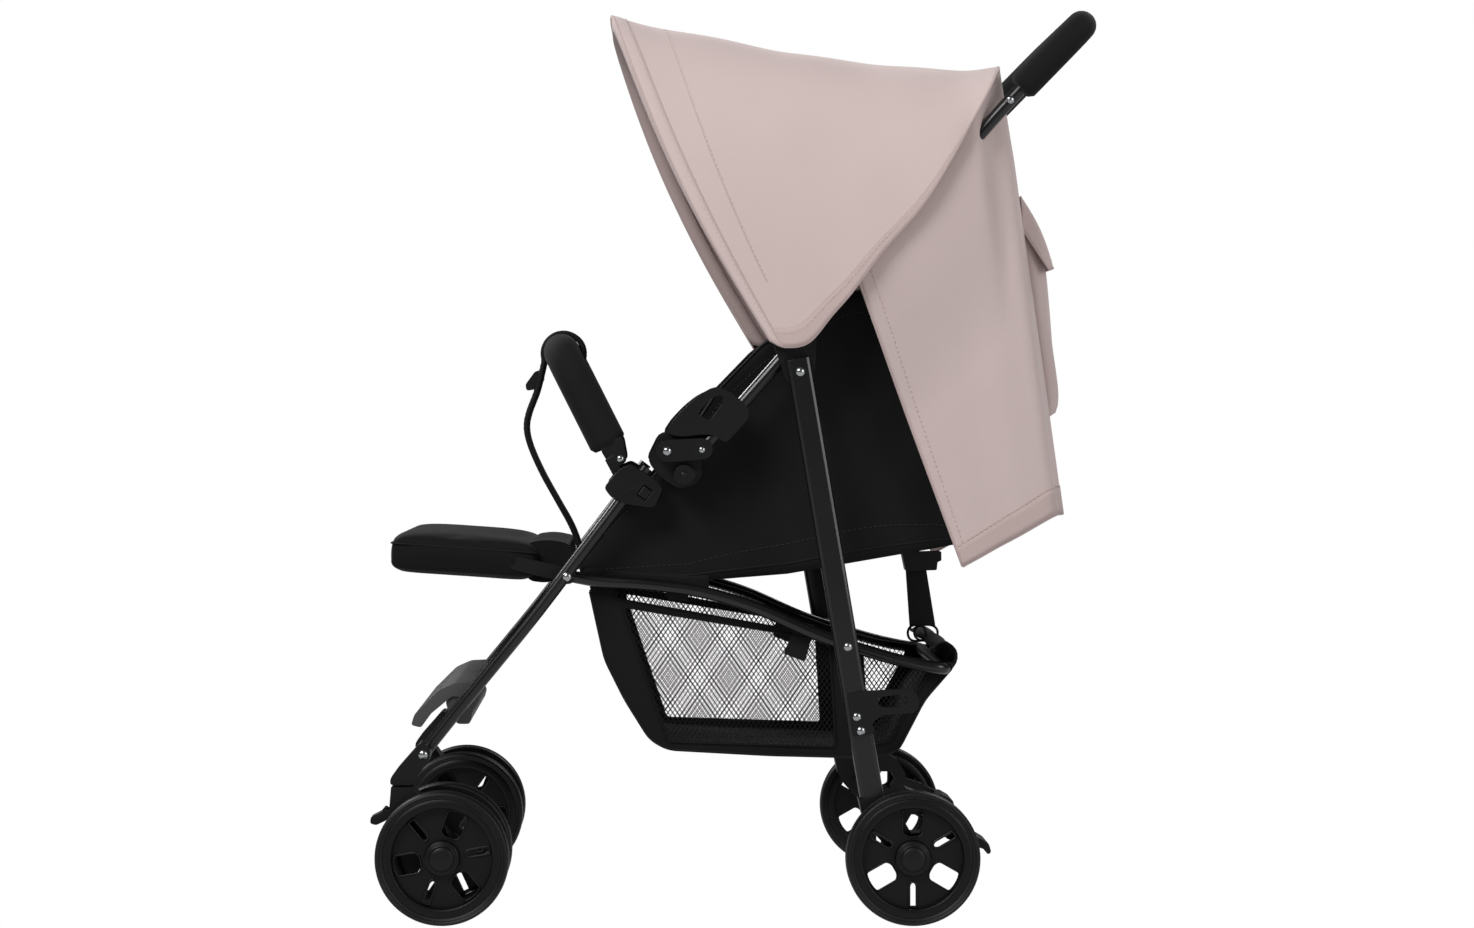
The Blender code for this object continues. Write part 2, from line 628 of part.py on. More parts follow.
def seat_tube_route():
    """The seat tube's path: back along the left, across behind the basket and forward again."""
    left = [(x, -SEAT_TUBE_Y, z) for x, z in SEAT_TUBE_PATH]
    corner = (SEAT_TUBE_REAR, -SEAT_TUBE_Y, 0.2795)
    right = [(x, -y, z) for x, y, z in reversed(left)]
    return left + [corner, (corner[0], SEAT_TUBE_Y, corner[2])] + right


def rounded_route(radius):
    """The seat tube's path with its two rear corners turned."""
    route = seat_tube_route()
    middle = len(route) // 2
    return route[:middle - 1] + bent(route[middle - 2:middle + 2], radius, 5)[1:-1] + route[middle + 1:]


def seat_tube(home):
    """The bent tube under the seat, with an eye at each front end."""
    frame = tube("seat_tube", rounded_route(0.028), SEAT_TUBE_R, home)
    x, z = SEAT_PIVOT
    eyes = [cylinder("eye", (x, sign * 0.1532, z), (x, sign * 0.1668, z), 0.0095, home, 12)
            for sign in SIDES.values()]
    frame = join(frame, *eyes)
    bores = [cylinder("bore", (x, sign * 0.14, z), (x, sign * 0.18, z), 0.0032 + RUNNING, home, 12)
             for sign in SIDES.values()]
    return cut(frame, *bores)


def basket(home):
    """The shopping basket: an open tub hung in the seat tube, its rear lip wrapped round the tube."""
    outer = [(-0.1663, 0.3668), (-0.1491, 0.2889), (-0.1262, 0.2431), (-0.0975, 0.1973),
             (-0.0769, 0.1858), (0.1544, 0.1767), (0.1864, 0.1835), (0.2174, 0.2431),
             (0.2562, 0.2858), (0.2413, 0.3111), (0.2164, 0.2900), (0.1513, 0.2960),
             (0.0874, 0.3160), (0.0235, 0.3450), (-0.0405, 0.3630)]
    inner = [(-0.1610, 0.4000), (-0.1455, 0.2895), (-0.1230, 0.2450), (-0.0955, 0.2010),
             (-0.0760, 0.1895), (0.1540, 0.1805), (0.1840, 0.1870), (0.2080, 0.2440),
             (0.2200, 0.2640), (0.2200, 0.4000)]
    tub = prism("basket", rounded(outer, 0.006, 2), (-0.1445, 0.1445), home)
    hollow = prism("hollow", rounded(inner, 0.005, 2), (-0.1415, 0.1415), home)
    return cut(tub, hollow, tube("tube", rounded_route(0.028), SEAT_TUBE_R + RUNNING, home))


FABRIC_Y = [(0.370, 0.1470), (0.520, 0.1540), (0.600, 0.1660), (0.720, 0.1760)]
FABRIC_TOP = [(-0.176, 0.404), (-0.147, 0.440), (-0.100, 0.492), (-0.040, 0.540), (0.010, 0.592),
              (0.060, 0.645), (0.110, 0.690), (0.160, 0.710), (0.230, 0.640), (0.300, 0.480)]
FABRIC_HEM = [(-0.176, 0.3890), (-0.052, 0.3790), (0.060, 0.3880), (0.2274, 0.4170), (0.300, 0.4310)]


def seat_fabric(home):
    """The seat's cloth: two side panels and the sling between them, in one sheet."""
    stations = np.linspace(FABRIC_TOP[0][0], FABRIC_TOP[-1][0], 13)
    rows = []
    for x in stations:
        hem, top = smooth_value(x, FABRIC_HEM), smooth_value(x, FABRIC_TOP)
        sling = hem + 0.004
        side = [(hem + (top - hem) * t) for t in (1.0, 0.72, 0.45, 0.2, 0.0)]
        fold = [0.0, 0.0020, -0.0015, 0.0010, 0.0]
        wave = math.sin(x * 70)
        left = [(x, -(smooth_value(z, FABRIC_Y) + bulge * wave), z) for z, bulge in zip(side, fold)]
        flat = [(x, -0.1440 + 0.288 * t, sling - 0.010 * math.sin(math.pi * t))
                for t in (0.03, 0.35, 0.65, 0.97)]
        rows.append(left + flat + [(px, -py, pz) for px, py, pz in reversed(left)])
    return shell("seat_fabric", np.array(rows), 0.0024, home)


def pad(name, start, end, half_width, thickness, crown, channels, home, sides=0.010,
        edge_share=0.45):
    """A stuffed pad between two points of the XZ plane: crowned, sewn in channels, sides drawn in."""
    (x0, z0), (x1, z1) = start, end
    length = math.hypot(x1 - x0, z1 - z0)
    ahead = ((x1 - x0) / length, (z1 - z0) / length)
    up = (-ahead[1], ahead[0])
    across = np.sin(np.linspace(-math.pi / 2, math.pi / 2, 7))
    lengths = np.unique(np.concatenate([np.linspace(0, 1, 5), np.array(channels),
                                        np.array(channels) - 0.02, np.array(channels) + 0.02]))
    bm = bmesh.new()
    layers = []
    for face in (1, -1):
        layer = []
        for s in lengths:
            edge = 1 - abs(2 * s - 1) ** 6
            drawn = half_width - sides * (1 - edge) * 0.6
            line = []
            for t in across:
                swell = (1 - abs(t) ** 6) * edge
                groove = 0.35 if any(abs(s - c) < 0.005 for c in channels) else 0.0
                height = face * (thickness / 2) * (edge_share + (1 - edge_share) * swell)
                if face > 0:
                    height += crown * swell * (1 - groove) - groove * 0.12 * thickness * swell
                line.append(bm.verts.new((x0 + ahead[0] * length * s + up[0] * height, t * drawn,
                                          z0 + ahead[1] * length * s + up[1] * height)))
            layer.append(line)
        layers.append(layer)
    top, bottom = layers
    last_row, last_column = len(lengths) - 1, len(across) - 1
    for r in range(last_row):
        for c in range(last_column):
            bm.faces.new((top[r][c], top[r + 1][c], top[r + 1][c + 1], top[r][c + 1]))
            bm.faces.new((bottom[r][c], bottom[r][c + 1], bottom[r + 1][c + 1], bottom[r + 1][c]))
    for r in range(last_row):
        for c in (0, last_column):
            bm.faces.new((top[r][c], top[r + 1][c], bottom[r + 1][c], bottom[r][c]))
    for c in range(last_column):
        for r in (0, last_row):
            bm.faces.new((top[r][c], top[r][c + 1], bottom[r][c + 1], bottom[r][c]))
    return finish_bmesh(name, bm, home)


def seat_cushion(home):
    """The seat pad, in three sewn channels."""
    return pad("seat_cushion", (-0.1720, 0.4090), (-0.0300, 0.4010), 0.1300, 0.0180, 0.0060,
               [0.33, 0.66], home)


def backrest(home):
    """The backrest, lying flat, hinged at the seat's rear edge."""
    return pad("backrest", (-0.0240, 0.4030), (0.3000, 0.4580), 0.1300, 0.0200, 0.0060,
               [0.25, 0.5, 0.75], home)


def legrest(home):
    """The legrest: a thick pad, its neck and the two arms on the seat pivot."""
    rest = pad("legrest", (-0.3930, 0.4110), (-0.2200, 0.3990), 0.1500, 0.0360, 0.0040, [0.5], home,
               edge_share=0.85)
    neck = prism("neck", rounded([(-0.2330, 0.4130), (-0.2330, 0.3850), (-0.2060, 0.3790),
                                  (-0.2020, 0.4110)], 0.005), (-0.1370, 0.1370), home)
    arms = [prism("arm", capsule((-0.2500, 0.3990), SEAT_PIVOT, 0.0080, 0.0085),
                  (sign * 0.1410, sign * 0.1500), home,
                  [arc(SEAT_PIVOT, 0.0032 + RUNNING, 0, 330, 11)]) for sign in SIDES.values()]
    return join(rest, neck, *arms)


def bumper_route():
    """The bumper bar's whole path: up one arm, across and down the other."""
    top = [(-0.2000, sign * 0.1540, 0.6430) for sign in (-1, 1)]
    return bumper_line(-1) + top + bumper_line(1)[::-1]


def bumper_tube(home):
    """The bumper's steel core with its moulded ends and pegs."""
    core = tube("bumper_tube", bent(bumper_route(), BUMPER_BEND, 5), 0.0080, home)
    parts = []
    for sign in SIDES.values():
        cheek = [(-0.1235, 0.5165), (-0.1400, 0.5060), (-0.1550, 0.5310), (-0.1290, 0.5460)]
        parts.append(prism("end", rounded(cheek, 0.005), (sign * 0.1500, sign * 0.1780), home))
        parts.append(socket_peg(sign, home))
    return join(core, *parts)


def bumper_foam(home):
    """The foam sleeve round the bumper bar."""
    route = bumper_route()
    start, stop = np.array(route[1]), np.array(route[2])
    low = start + (stop - start) * 0.03
    sleeve_route = [tuple(low)] + route[2:-2] + [(low[0], -low[1], low[2])]
    sleeve = tube("bumper_foam", bent(sleeve_route, BUMPER_BEND, 5), 0.0205, home)
    return cut(sleeve, tube("bore", bent(route, BUMPER_BEND, 5), 0.0080 + GAP, home))


def crotch_strap(home):
    """The strap between the legs, wrapped round the bumper and hung to the seat's front edge."""
    ring = arc((-0.2000, 0.6430), 0.0230, -30, 200, 10)
    tail = [(-0.2310, 0.6000), (-0.2410, 0.5730), (-0.2440, 0.5540), (-0.2390, 0.5320),
            (-0.2250, 0.5006), (-0.2058, 0.4660), (-0.1938, 0.4430), (-0.1860, 0.4260)]
    grid = np.array([[(x, y, z) for y in (-0.0200, 0.0, 0.0200)] for x, z in ring + tail])
    return shell("crotch_strap", grid, 0.0024, home)


def recline_strap(home):
    """The webbing behind the backrest that sets its angle, with its sliding buckle."""
    web = prism("recline_strap", [(0.2076, 0.3950), (0.2315, 0.3950), (0.2440, 0.3180),
                                  (0.2130, 0.3180)], (-0.0012, 0.0012), home)
    buckle = prism("buckle", rounded([(0.2040, 0.4010), (0.2430, 0.4030), (0.2430, 0.3900),
                                      (0.2060, 0.3870)], 0.003), (-0.0120, 0.0120), home)
    return join(web, buckle)


HOOD_BASE = [(0.0380, 0.6520), (0.0546, 0.6454), (0.0804, 0.6510), (0.1061, 0.6812), (0.1285, 0.7070),
             (0.1621, 0.7518), (0.2070, 0.8034), (0.2400, 0.8560), (0.2619, 0.8964)]
HOOD_TOP = [(-0.1425, 1.0400), (-0.0970, 1.0300), (-0.0373, 1.0204), (0.0300, 1.0090),
            (0.0822, 1.0013), (0.1450, 0.9920), (0.2017, 0.9846), (0.2650, 0.9765), (0.3116, 0.9798)]
HOOD_Y = 0.2245


def hood_arch(u, width, steps, squareness=3.4, shrink=0.0):
    """One arch of the hood: a squared half ring from base to base over the top."""
    count = len(HOOD_BASE) - 1
    index = min(int(u * count), count - 1)
    t = u * count - index
    base = np.array(HOOD_BASE[index]) * (1 - t) + np.array(HOOD_BASE[index + 1]) * t
    top = np.array(HOOD_TOP[index]) * (1 - t) + np.array(HOOD_TOP[index + 1]) * t
    line = []
    for angle in np.linspace(-math.pi / 2, math.pi / 2, steps):
        high = abs(math.cos(angle)) ** (2 / squareness) * (1 - shrink)
        wide = math.copysign(abs(math.sin(angle)) ** (2 / squareness), angle)
        bow = 0.014 * math.sin(math.pi * high) * (1 - u)
        place = base + (top - base) * high
        line.append((place[0] - bow, wide * width * (1 - 0.15 * high), place[1] - bow * 0.4))
    return line


def hood(home):
    """The hood: one curved sheet over its front bow and the handle, sagging a little between them."""
    rows = []
    for u in np.linspace(0, 1, 9):
        arch = np.array(hood_arch(u, HOOD_Y, 13))
        middle = 1 - (arch[:, 1] / HOOD_Y) ** 4
        arch[:, 2] -= 0.006 * math.sin(math.pi * u) * middle
        rows.append(arch)
    return shell("hood", np.array(rows), 0.0024, home)


def hood_bow(home):
    """The springy strip inside the hood's front rim, with an eye on each hood pivot."""
    front = np.array(hood_arch(0.0, 0.2108, 13, 3.4, 0.02))
    front[:, 2] -= 0.0020
    back = front + np.array([0.0130, 0.0, -0.0030])
    strip = shell("hood_bow", np.array([front, back]), 0.0024, home)
    strip = baked(strip, "hood_bow", home)
    eyes = [prism("eye", capsule((0.0450, 0.6560), HOOD_PIVOT, 0.0075, 0.0085),
                  (sign * 0.2093, sign * 0.2123), home, [arc(HOOD_PIVOT, 0.0035 + RUNNING, 0, 330, 11)])
            for sign in SIDES.values()]
    return join(strip, *eyes)


def rear_drape(home):
    """The hood's hanging back, in folds, from the handle down over the backrest's end."""
    rows = []
    for v in np.linspace(0, 1, 9):
        line = []
        for side in (-1, 1):
            places = np.linspace(0, 1, 6)[:-1] if side < 0 else np.linspace(1, 0, 6)[1:]
            if side > 0:
                for w in np.linspace(-1, 1, 7):
                    x = 0.3066 + (0.3669 - 0.3066) * v + 0.012 * (1 - abs(w) ** 4)
                    x += 0.004 * v * math.cos(w * 9.0) * (1 - abs(w) ** 6)
                    line.append((x, w * (0.170 - 0.010 * v), 0.945 - 0.4895 * v))
            for s in places:
                x_top, z_top = 0.140 + 0.163 * s, 0.712 + 0.230 * s
                x_low, z_low = 0.2576 + 0.1060 * s, 0.3970 + 0.0580 * s
                bulge = 0.005 * math.sin(5 * s + 1.5) * math.sin(math.pi * min(1, v * 1.4))
                y = 0.186 - 0.012 * s ** 3 - 0.010 * v + bulge * (1 - s)
                line.append((x_top + (x_low - x_top) * v, side * y, z_top + (z_low - z_top) * v))
        rows.append(line)
    return shell("rear_drape", np.array(rows), 0.0024, home)


def pocket(home):
    """The zip pocket on the hood's back, with its flap."""
    outline = [(0.3400, 0.8150), (0.3480, 0.8200), (0.3600, 0.7950), (0.3720, 0.7500),
               (0.3700, 0.7380), (0.3790, 0.6500), (0.3870, 0.5700), (0.3860, 0.5640),
               (0.3720, 0.5638), (0.3640, 0.6300)]
    return softened(prism("pocket", outline, (-0.1000, 0.1000), home), 0.003)


# Assembly

def place(obj, kind, carrier, pivot):
    """Dress a piece, put its origin on its joint and parent it to its body's empty."""
    mesh = obj.data
    if obj.name not in {"seat_fabric", "hood", "rear_drape"}:
        for polygon in mesh.polygons:
            polygon.use_smooth = True
        mesh.set_sharp_from_angle(angle=math.radians(35))
    mesh.transform(Matrix.Translation(-Vector(pivot)))
    obj.location = pivot
    obj.data.materials.clear()
    obj.data.materials.append(material_for(obj.name, kind))
    obj.parent = carrier
    obj.matrix_parent_inverse = carrier.matrix_world.inverted()


def joint_empty(name, pivot, home, parent=None):
    """An empty on a joint's axis, for the pieces that move there."""
    empty = bpy.data.objects.new(name, None)
    empty.empty_display_size = 0.03
    empty.location = pivot
    home.objects.link(empty)
    bpy.context.view_layer.update()
    if parent:
        empty.parent = parent
        empty.matrix_parent_inverse = parent.matrix_world.inverted()
        bpy.context.view_layer.update()
    return empty


def main():
    """Build the stroller, body by body."""
    clear_scene()
    home = collection("stroller")
    joints = collection("joints")

    root = joint_empty("front_frame_origin", (0, 0, 0), joints)
    fold = joint_empty("fold_axis", (FOLD_PIVOT[0], 0, FOLD_PIVOT[1]), joints, root)
    rear = joint_empty("rear_leg_axis", (REAR_LEG_PIVOT[0], 0, REAR_LEG_PIVOT[1]), joints, fold)
    seat = joint_empty("seat_axis", (SEAT_PIVOT[0], 0, SEAT_PIVOT[1]), joints, root)
    recline = joint_empty("recline_axis", (RECLINE_PIVOT[0], 0, RECLINE_PIVOT[1]), joints, seat)
    rest = joint_empty("legrest_axis", (SEAT_PIVOT[0], 0, SEAT_PIVOT[1]), joints, root)
    bow = joint_empty("hood_axis", (HOOD_PIVOT[0], 0, HOOD_PIVOT[1]), joints, fold)
    bumper = joint_empty("bumper_slide", (-0.1300, 0, 0.5060), joints, root)

    def at(empty):
        return empty.matrix_world.translation.copy()

    for side, sign in SIDES.items():
        for piece, kind in ((front_leg, "steel"), (hinge_lower, "plastic"), (bumper_socket, "plastic"),
                            (front_foot, "plastic")):
            place(piece(side, sign, home), kind, root, at(root))
        button = joint_empty(f"bumper_button_{side}_axis", (-0.1037, sign * 0.1861, 0.4812), joints, root)
        place(bumper_button(side, sign, home), "grey_plastic", button, at(button))
        swivel = joint_empty(f"caster_{side}_axis", (CASTER_X, sign * CASTER_Y, 0.1500), joints, root)
        place(caster_fork(side, sign, home), "plastic", swivel, at(swivel))
        place(front_axle(side, sign, home), "bright_steel", swivel, at(swivel))
        lock = joint_empty(f"swivel_lock_{side}_axis", (LOCK_PIVOT[0], sign * CASTER_Y, LOCK_PIVOT[1]), joints, swivel)
        place(swivel_lock(side, sign, home), "plastic", lock, at(lock))
        for where, y, outward, phase in (("outer", OUTER_WHEEL_Y, sign, -20),
                                         ("inner", INNER_WHEEL_Y, -sign, 25)):
            hub = joint_empty(f"front_{where}_{side}_axis", (FRONT_AXLE[0], sign * y, FRONT_AXLE[1]),
                              joints, swivel)
            rim, tyre = wheel(f"front_{where}_{side}", FRONT_AXLE, sign * y, outward, phase, home)
            place(rim, "plastic", hub, at(hub))
            place(tyre, "tyre", hub, at(hub))
        for piece, kind in ((hinge_upper, "plastic"), (rear_leg_bracket, "plastic")):
            place(piece(side, sign, home), kind, fold, at(fold))
        slider = joint_empty(f"fold_release_{side}_slide", (-0.0300, sign * HANDLE_Y, 0.5800), joints, fold)
        place(fold_release(side, sign, home), "plastic", slider, at(slider))
        for piece, kind in ((rear_leg, "steel"), (rear_housing, "plastic")):
            place(piece(side, sign, home), kind, rear, at(rear))
        hub = joint_empty(f"rear_{side}_axis", (REAR_AXLE[0], sign * OUTER_WHEEL_Y, REAR_AXLE[1]),
                          joints, rear)
        rim, tyre = wheel(f"rear_{side}", REAR_AXLE, sign * OUTER_WHEEL_Y, sign, 0, home)
        place(rim, "plastic", hub, at(hub))
        place(tyre, "tyre", hub, at(hub))
        pedal = joint_empty(f"brake_{side}_axis", (BRAKE_PIVOT[0], sign * 0.2100, BRAKE_PIVOT[1]), joints, rear)
        place(brake(side, sign, home), "plastic", pedal, at(pedal))

    for piece, kind, body in (
            (footrest, "grey_plastic", root), (handle_tube, "steel", fold), (handle_grip, "foam", fold),
            (rear_axle, "bright_steel", rear), (rear_cross_tube, "steel", rear),
            (fold_catch, "plastic", rear), (seat_tube, "steel", seat), (basket, "mesh_cloth", seat),
            (seat_fabric, "black_cloth", seat), (seat_cushion, "black_cloth", seat),
            (backrest, "black_cloth", recline), (legrest, "black_cloth", rest),
            (bumper_tube, "plastic", bumper), (bumper_foam, "foam", bumper),
            (crotch_strap, "webbing", bumper), (recline_strap, "webbing", seat),
            (hood, "pink_cloth", fold), (hood_bow, "plastic", bow), (rear_drape, "pink_cloth", fold),
            (pocket, "pink_cloth", fold)):
        place(piece(home), kind, body, at(body))


main()
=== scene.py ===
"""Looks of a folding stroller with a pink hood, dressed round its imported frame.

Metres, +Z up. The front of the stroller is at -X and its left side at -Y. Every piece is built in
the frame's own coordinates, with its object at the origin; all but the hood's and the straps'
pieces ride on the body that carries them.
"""

from __future__ import annotations

import json
import logging
import math
from collections.abc import Sequence
from dataclasses import dataclass
from enum import Enum

import bmesh
import bpy
import numpy as np
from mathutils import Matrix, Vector

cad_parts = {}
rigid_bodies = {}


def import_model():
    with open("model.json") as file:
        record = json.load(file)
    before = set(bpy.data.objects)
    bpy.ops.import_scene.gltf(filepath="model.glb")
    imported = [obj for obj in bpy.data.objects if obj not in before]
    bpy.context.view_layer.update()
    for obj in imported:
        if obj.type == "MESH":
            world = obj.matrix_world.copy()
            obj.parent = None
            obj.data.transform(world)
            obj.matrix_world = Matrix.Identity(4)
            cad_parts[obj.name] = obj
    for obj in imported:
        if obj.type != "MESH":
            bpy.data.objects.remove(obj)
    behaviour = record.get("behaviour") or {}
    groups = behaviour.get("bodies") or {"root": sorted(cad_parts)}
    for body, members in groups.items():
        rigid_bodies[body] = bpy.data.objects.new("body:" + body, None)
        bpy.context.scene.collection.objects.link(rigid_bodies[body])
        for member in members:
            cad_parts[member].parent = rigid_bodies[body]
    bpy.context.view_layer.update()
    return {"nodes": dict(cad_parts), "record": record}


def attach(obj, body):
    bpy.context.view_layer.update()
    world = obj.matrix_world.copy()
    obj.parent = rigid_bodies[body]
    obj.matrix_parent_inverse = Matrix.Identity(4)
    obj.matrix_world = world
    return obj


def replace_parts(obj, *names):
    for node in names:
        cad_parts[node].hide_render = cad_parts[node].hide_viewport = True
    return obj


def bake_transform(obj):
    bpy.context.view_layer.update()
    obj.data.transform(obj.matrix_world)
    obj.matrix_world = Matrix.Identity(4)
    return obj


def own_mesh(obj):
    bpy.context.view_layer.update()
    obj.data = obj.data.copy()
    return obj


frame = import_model()

LOG = logging.getLogger("stroller")
SIDES = {"left": -1.0, "right": 1.0}

Points = np.ndarray
Obj = bpy.types.Object
Tree = bpy.types.NodeTree
Socket = bpy.types.NodeSocket


# Finishes

class Pattern(Enum):
    """What gives a finish its relief."""

    GRAIN = "moulded grain"
    FOAM = "closed foam cells"
    WEAVE = "plain weave"
    WEBBING = "ribbed webbing"
    BRUSHED = "drawn metal"


def linear(hex_colour: str) -> tuple[float, float, float, float]:
    """Turn an sRGB hex colour into linear RGBA.

    Args:
        hex_colour: Six hex digits, as in a paint list.

    Returns:
        The linear red, green and blue with an alpha of 1.
    """
    parts = [int(hex_colour[i:i + 2], 16) / 255 for i in (0, 2, 4)]
    made = [c / 12.92 if c <= 0.04045 else ((c + 0.055) / 1.055) ** 2.4 for c in parts]
    return (made[0], made[1], made[2], 1.0)


def add_node(tree: Tree, kind: str, inputs: dict | None = None, **settings) -> bpy.types.Node:
    """Add a node, set its fields, and fill or link its inputs.

    Args:
        tree: The node tree.
        kind: The node's type name.
        inputs: Input name or index, to a value or to the output socket that feeds it.
        **settings: The node's own fields.

    Returns:
        The node.
    """
    node = tree.nodes.new(kind)
    for key, value in settings.items():
        setattr(node, key, value)
    for key, value in (inputs or {}).items():
        if isinstance(value, Socket):
            tree.links.new(value, node.inputs[key])
        else:
            node.inputs[key].default_value = value
    return node


@dataclass(frozen=True)
class Finish:
    """One finish: a real material and how its surface was made.

    Colours are sRGB hex. pitch is the pattern's real spacing in metres, drawn no finer than shows.
    """

    name: str
    slot: str
    colour: str
    worn: str
    roughness: float
    pattern: Pattern
    pitch: float
    relief: float
    ior: float = 1.5
    metallic: float = 0.0
    coat: float = 0.0
    sheen: float = 0.0
    on_uv: bool = False

    def material(self) -> bpy.types.Material:
        """The finish as a node material, made once."""
        found = bpy.data.materials.get(self.name)
        if found:
            return found
        made = bpy.data.materials.new(self.name)
        made.use_nodes = True
        tree = made.node_tree
        shader = tree.nodes["Principled BSDF"]
        for key, value in (("IOR", self.ior), ("Metallic", self.metallic), ("Coat Weight", self.coat),
                           ("Coat Roughness", 0.15), ("Sheen Weight", self.sheen),
                           ("Sheen Roughness", 0.5)):
            shader.inputs[key].default_value = value
        coordinates = add_node(tree, "ShaderNodeTexCoord")
        where = coordinates.outputs["UV" if self.on_uv else "Object"]
        blotch = add_node(tree, "ShaderNodeTexNoise", {"Vector": coordinates.outputs["Object"],
                                                       "Scale": 9.0, "Detail": 5.0})
        tone = add_node(tree, "ShaderNodeMix", {"Factor": blotch.outputs["Fac"], 6: linear(self.colour),
                                                7: linear(self.worn)}, data_type="RGBA")
        height = self.height(tree, where)
        # Painted shade and highlight: the colour is darkened to 0.88 where the relief is low and lifted to
        # 1.04 where it is high.
        shade = add_node(tree, "ShaderNodeMapRange", {"Value": height, "To Min": 0.88, "To Max": 1.04})
        colour = add_node(tree, "ShaderNodeVectorMath", {0: tone.outputs[2], 1: shade.outputs["Result"]},
                          operation="MULTIPLY")
        tree.links.new(colour.outputs["Vector"], shader.inputs["Base Color"])
        rough = add_node(tree, "ShaderNodeMapRange", {"Value": blotch.outputs["Fac"],
                                                      "From Min": 0.3, "From Max": 0.7,
                                                      "To Min": self.roughness - 0.04,
                                                      "To Max": self.roughness + 0.05})
        tree.links.new(rough.outputs["Result"], shader.inputs["Roughness"])
        bump = add_node(tree, "ShaderNodeBump", {"Height": height, "Strength": 0.6,
                                                 "Distance": self.relief})
        tree.links.new(bump.outputs["Normal"], shader.inputs["Normal"])
        return made

    def height(self, tree: Tree, where: Socket) -> Socket:
        """The relief as a height from 0 to 1.

        Args:
            tree: The material's nodes.
            where: The coordinates that the pattern follows.

        Returns:
            The socket that carries the height.
        """
        band = 2 * math.pi / 20 / self.pitch  # a wave texture at scale 1 repeats every 2 pi / 20
        if self.pattern is Pattern.GRAIN:
            return add_node(tree, "ShaderNodeTexNoise", {"Vector": where, "Scale": 1 / self.pitch,
                                                         "Detail": 3.0}).outputs["Fac"]
        if self.pattern is Pattern.FOAM:
            return add_node(tree, "ShaderNodeTexVoronoi", {"Vector": where, "Scale": 1 / self.pitch}
                            ).outputs["Distance"]
        if self.pattern is Pattern.BRUSHED:
            drawn = add_node(tree, "ShaderNodeMapping", {"Vector": where, "Scale": (1.0, 12.0, 12.0)})
            return add_node(tree, "ShaderNodeTexNoise", {"Vector": drawn.outputs["Vector"],
                                                         "Scale": 0.1 / self.pitch}).outputs["Fac"]
        warp = add_node(tree, "ShaderNodeTexWave", {"Vector": where, "Scale": band}, bands_direction="X")
        weft = add_node(tree, "ShaderNodeTexWave", {"Vector": where, "Scale": band}, bands_direction="Y")
        if self.pattern is Pattern.WEBBING:
            return weft.outputs["Fac"]
        over = add_node(tree, "ShaderNodeTexChecker", {"Vector": where, "Scale": 1 / self.pitch})
        return add_node(tree, "ShaderNodeMix", {"Factor": over.outputs["Fac"], 2: warp.outputs["Fac"],
                                                3: weft.outputs["Fac"]}).outputs[0]


# Powder coat lies smooth and glossy, so tubes carry long bright lines.
POWDER_COAT = Finish("steel powder coated black", "steel", "0b0b0c", "101011", 0.3, Pattern.GRAIN,
                     0.004, 0.00004, coat=0.2)
# Glass-filled nylon has a fine even grain and a dull shine.
NYLON = Finish("nylon moulded black", "plastic", "0d0d0e", "131314", 0.44, Pattern.GRAIN, 0.0014, 0.00008,
               ior=1.38)
# The wheels' polypropylene is a little glossier than the joints.
POLYPROPYLENE = Finish("polypropylene wheel black", "plastic", "0a0a0b", "0f0f10", 0.42, Pattern.GRAIN,
                       0.002, 0.00005, ior=1.34)
# The step is grey polypropylene, moulded with a leathery grain.
GREY_STEP = Finish("polypropylene step grey", "grey_plastic", "444446", "4b4b4d", 0.5, Pattern.GRAIN,
                   0.0016, 0.0001)
# Rivets and axles are bright zinc over steel.
ZINC = Finish("steel zinc plated", "bright_steel", "c9cbcd", "b4b6b8", 0.24, Pattern.BRUSHED, 0.002,
              0.00003, metallic=1.0)
# Sponge rubber is matt, with closed cells too fine to see one by one.
SPONGE = Finish("rubber sponge sleeve", "foam", "111112", "161617", 0.84, Pattern.FOAM, 0.0016, 0.00012,
                ior=1.3, sheen=0.04)
# The tyres are EVA foam with a skin, matt and dark.
EVA = Finish("EVA tyre", "tyre", "0f0f10", "141415", 0.5, Pattern.GRAIN, 0.0018, 0.00006, ior=1.38)
# Threads of the hood's cloth lie about 0.4 mm apart; they are drawn at 1.4 mm to show.
PINK = Finish("polyester woven pink", "pink_cloth", "d3c0bc", "cbb8b5", 0.78, Pattern.WEAVE, 0.0014,
              0.0001, sheen=0.18, on_uv=True)
PINK_HEM = Finish("polyester hem pink", "pink_cloth", "c8b4b0", "c1aca9", 0.8, Pattern.WEAVE, 0.0016,
                  0.00014, sheen=0.15, on_uv=True)
PINK_THREAD = Finish("polyester thread pink", "pink_cloth", "e2cfcc", "dac6c3", 0.6, Pattern.GRAIN,
                     0.001, 0.00002)
# The seat's cloth is a denser black polyester with a faint shine on its folds.
BLACK = Finish("polyester woven black", "black_cloth", "0e0e10", "131315", 0.76, Pattern.WEAVE, 0.0014,
               0.0001, ior=1.28, sheen=0.06, on_uv=True)
BLACK_PAD = Finish("polyester quilted black", "black_cloth", "0c0c0d", "111112", 0.8, Pattern.GRAIN,
                   0.0012, 0.00012, ior=1.28, sheen=0.04)
BLACK_THREAD = Finish("polyester thread black", "black_cloth", "2e2e30", "353537", 0.6, Pattern.GRAIN,
                      0.001, 0.00002)
# Binding tape has cross ribs about 1 mm apart.
BINDING = Finish("polyester binding tape", "mesh_cloth", "131314", "181819", 0.7, Pattern.WEBBING,
                 0.0016, 0.0001, ior=1.32, on_uv=True)
NETTING = Finish("polyester knitted net", "mesh_cloth", "161617", "1c1c1d", 0.66, Pattern.GRAIN, 0.001,
                 0.00004, ior=1.32)
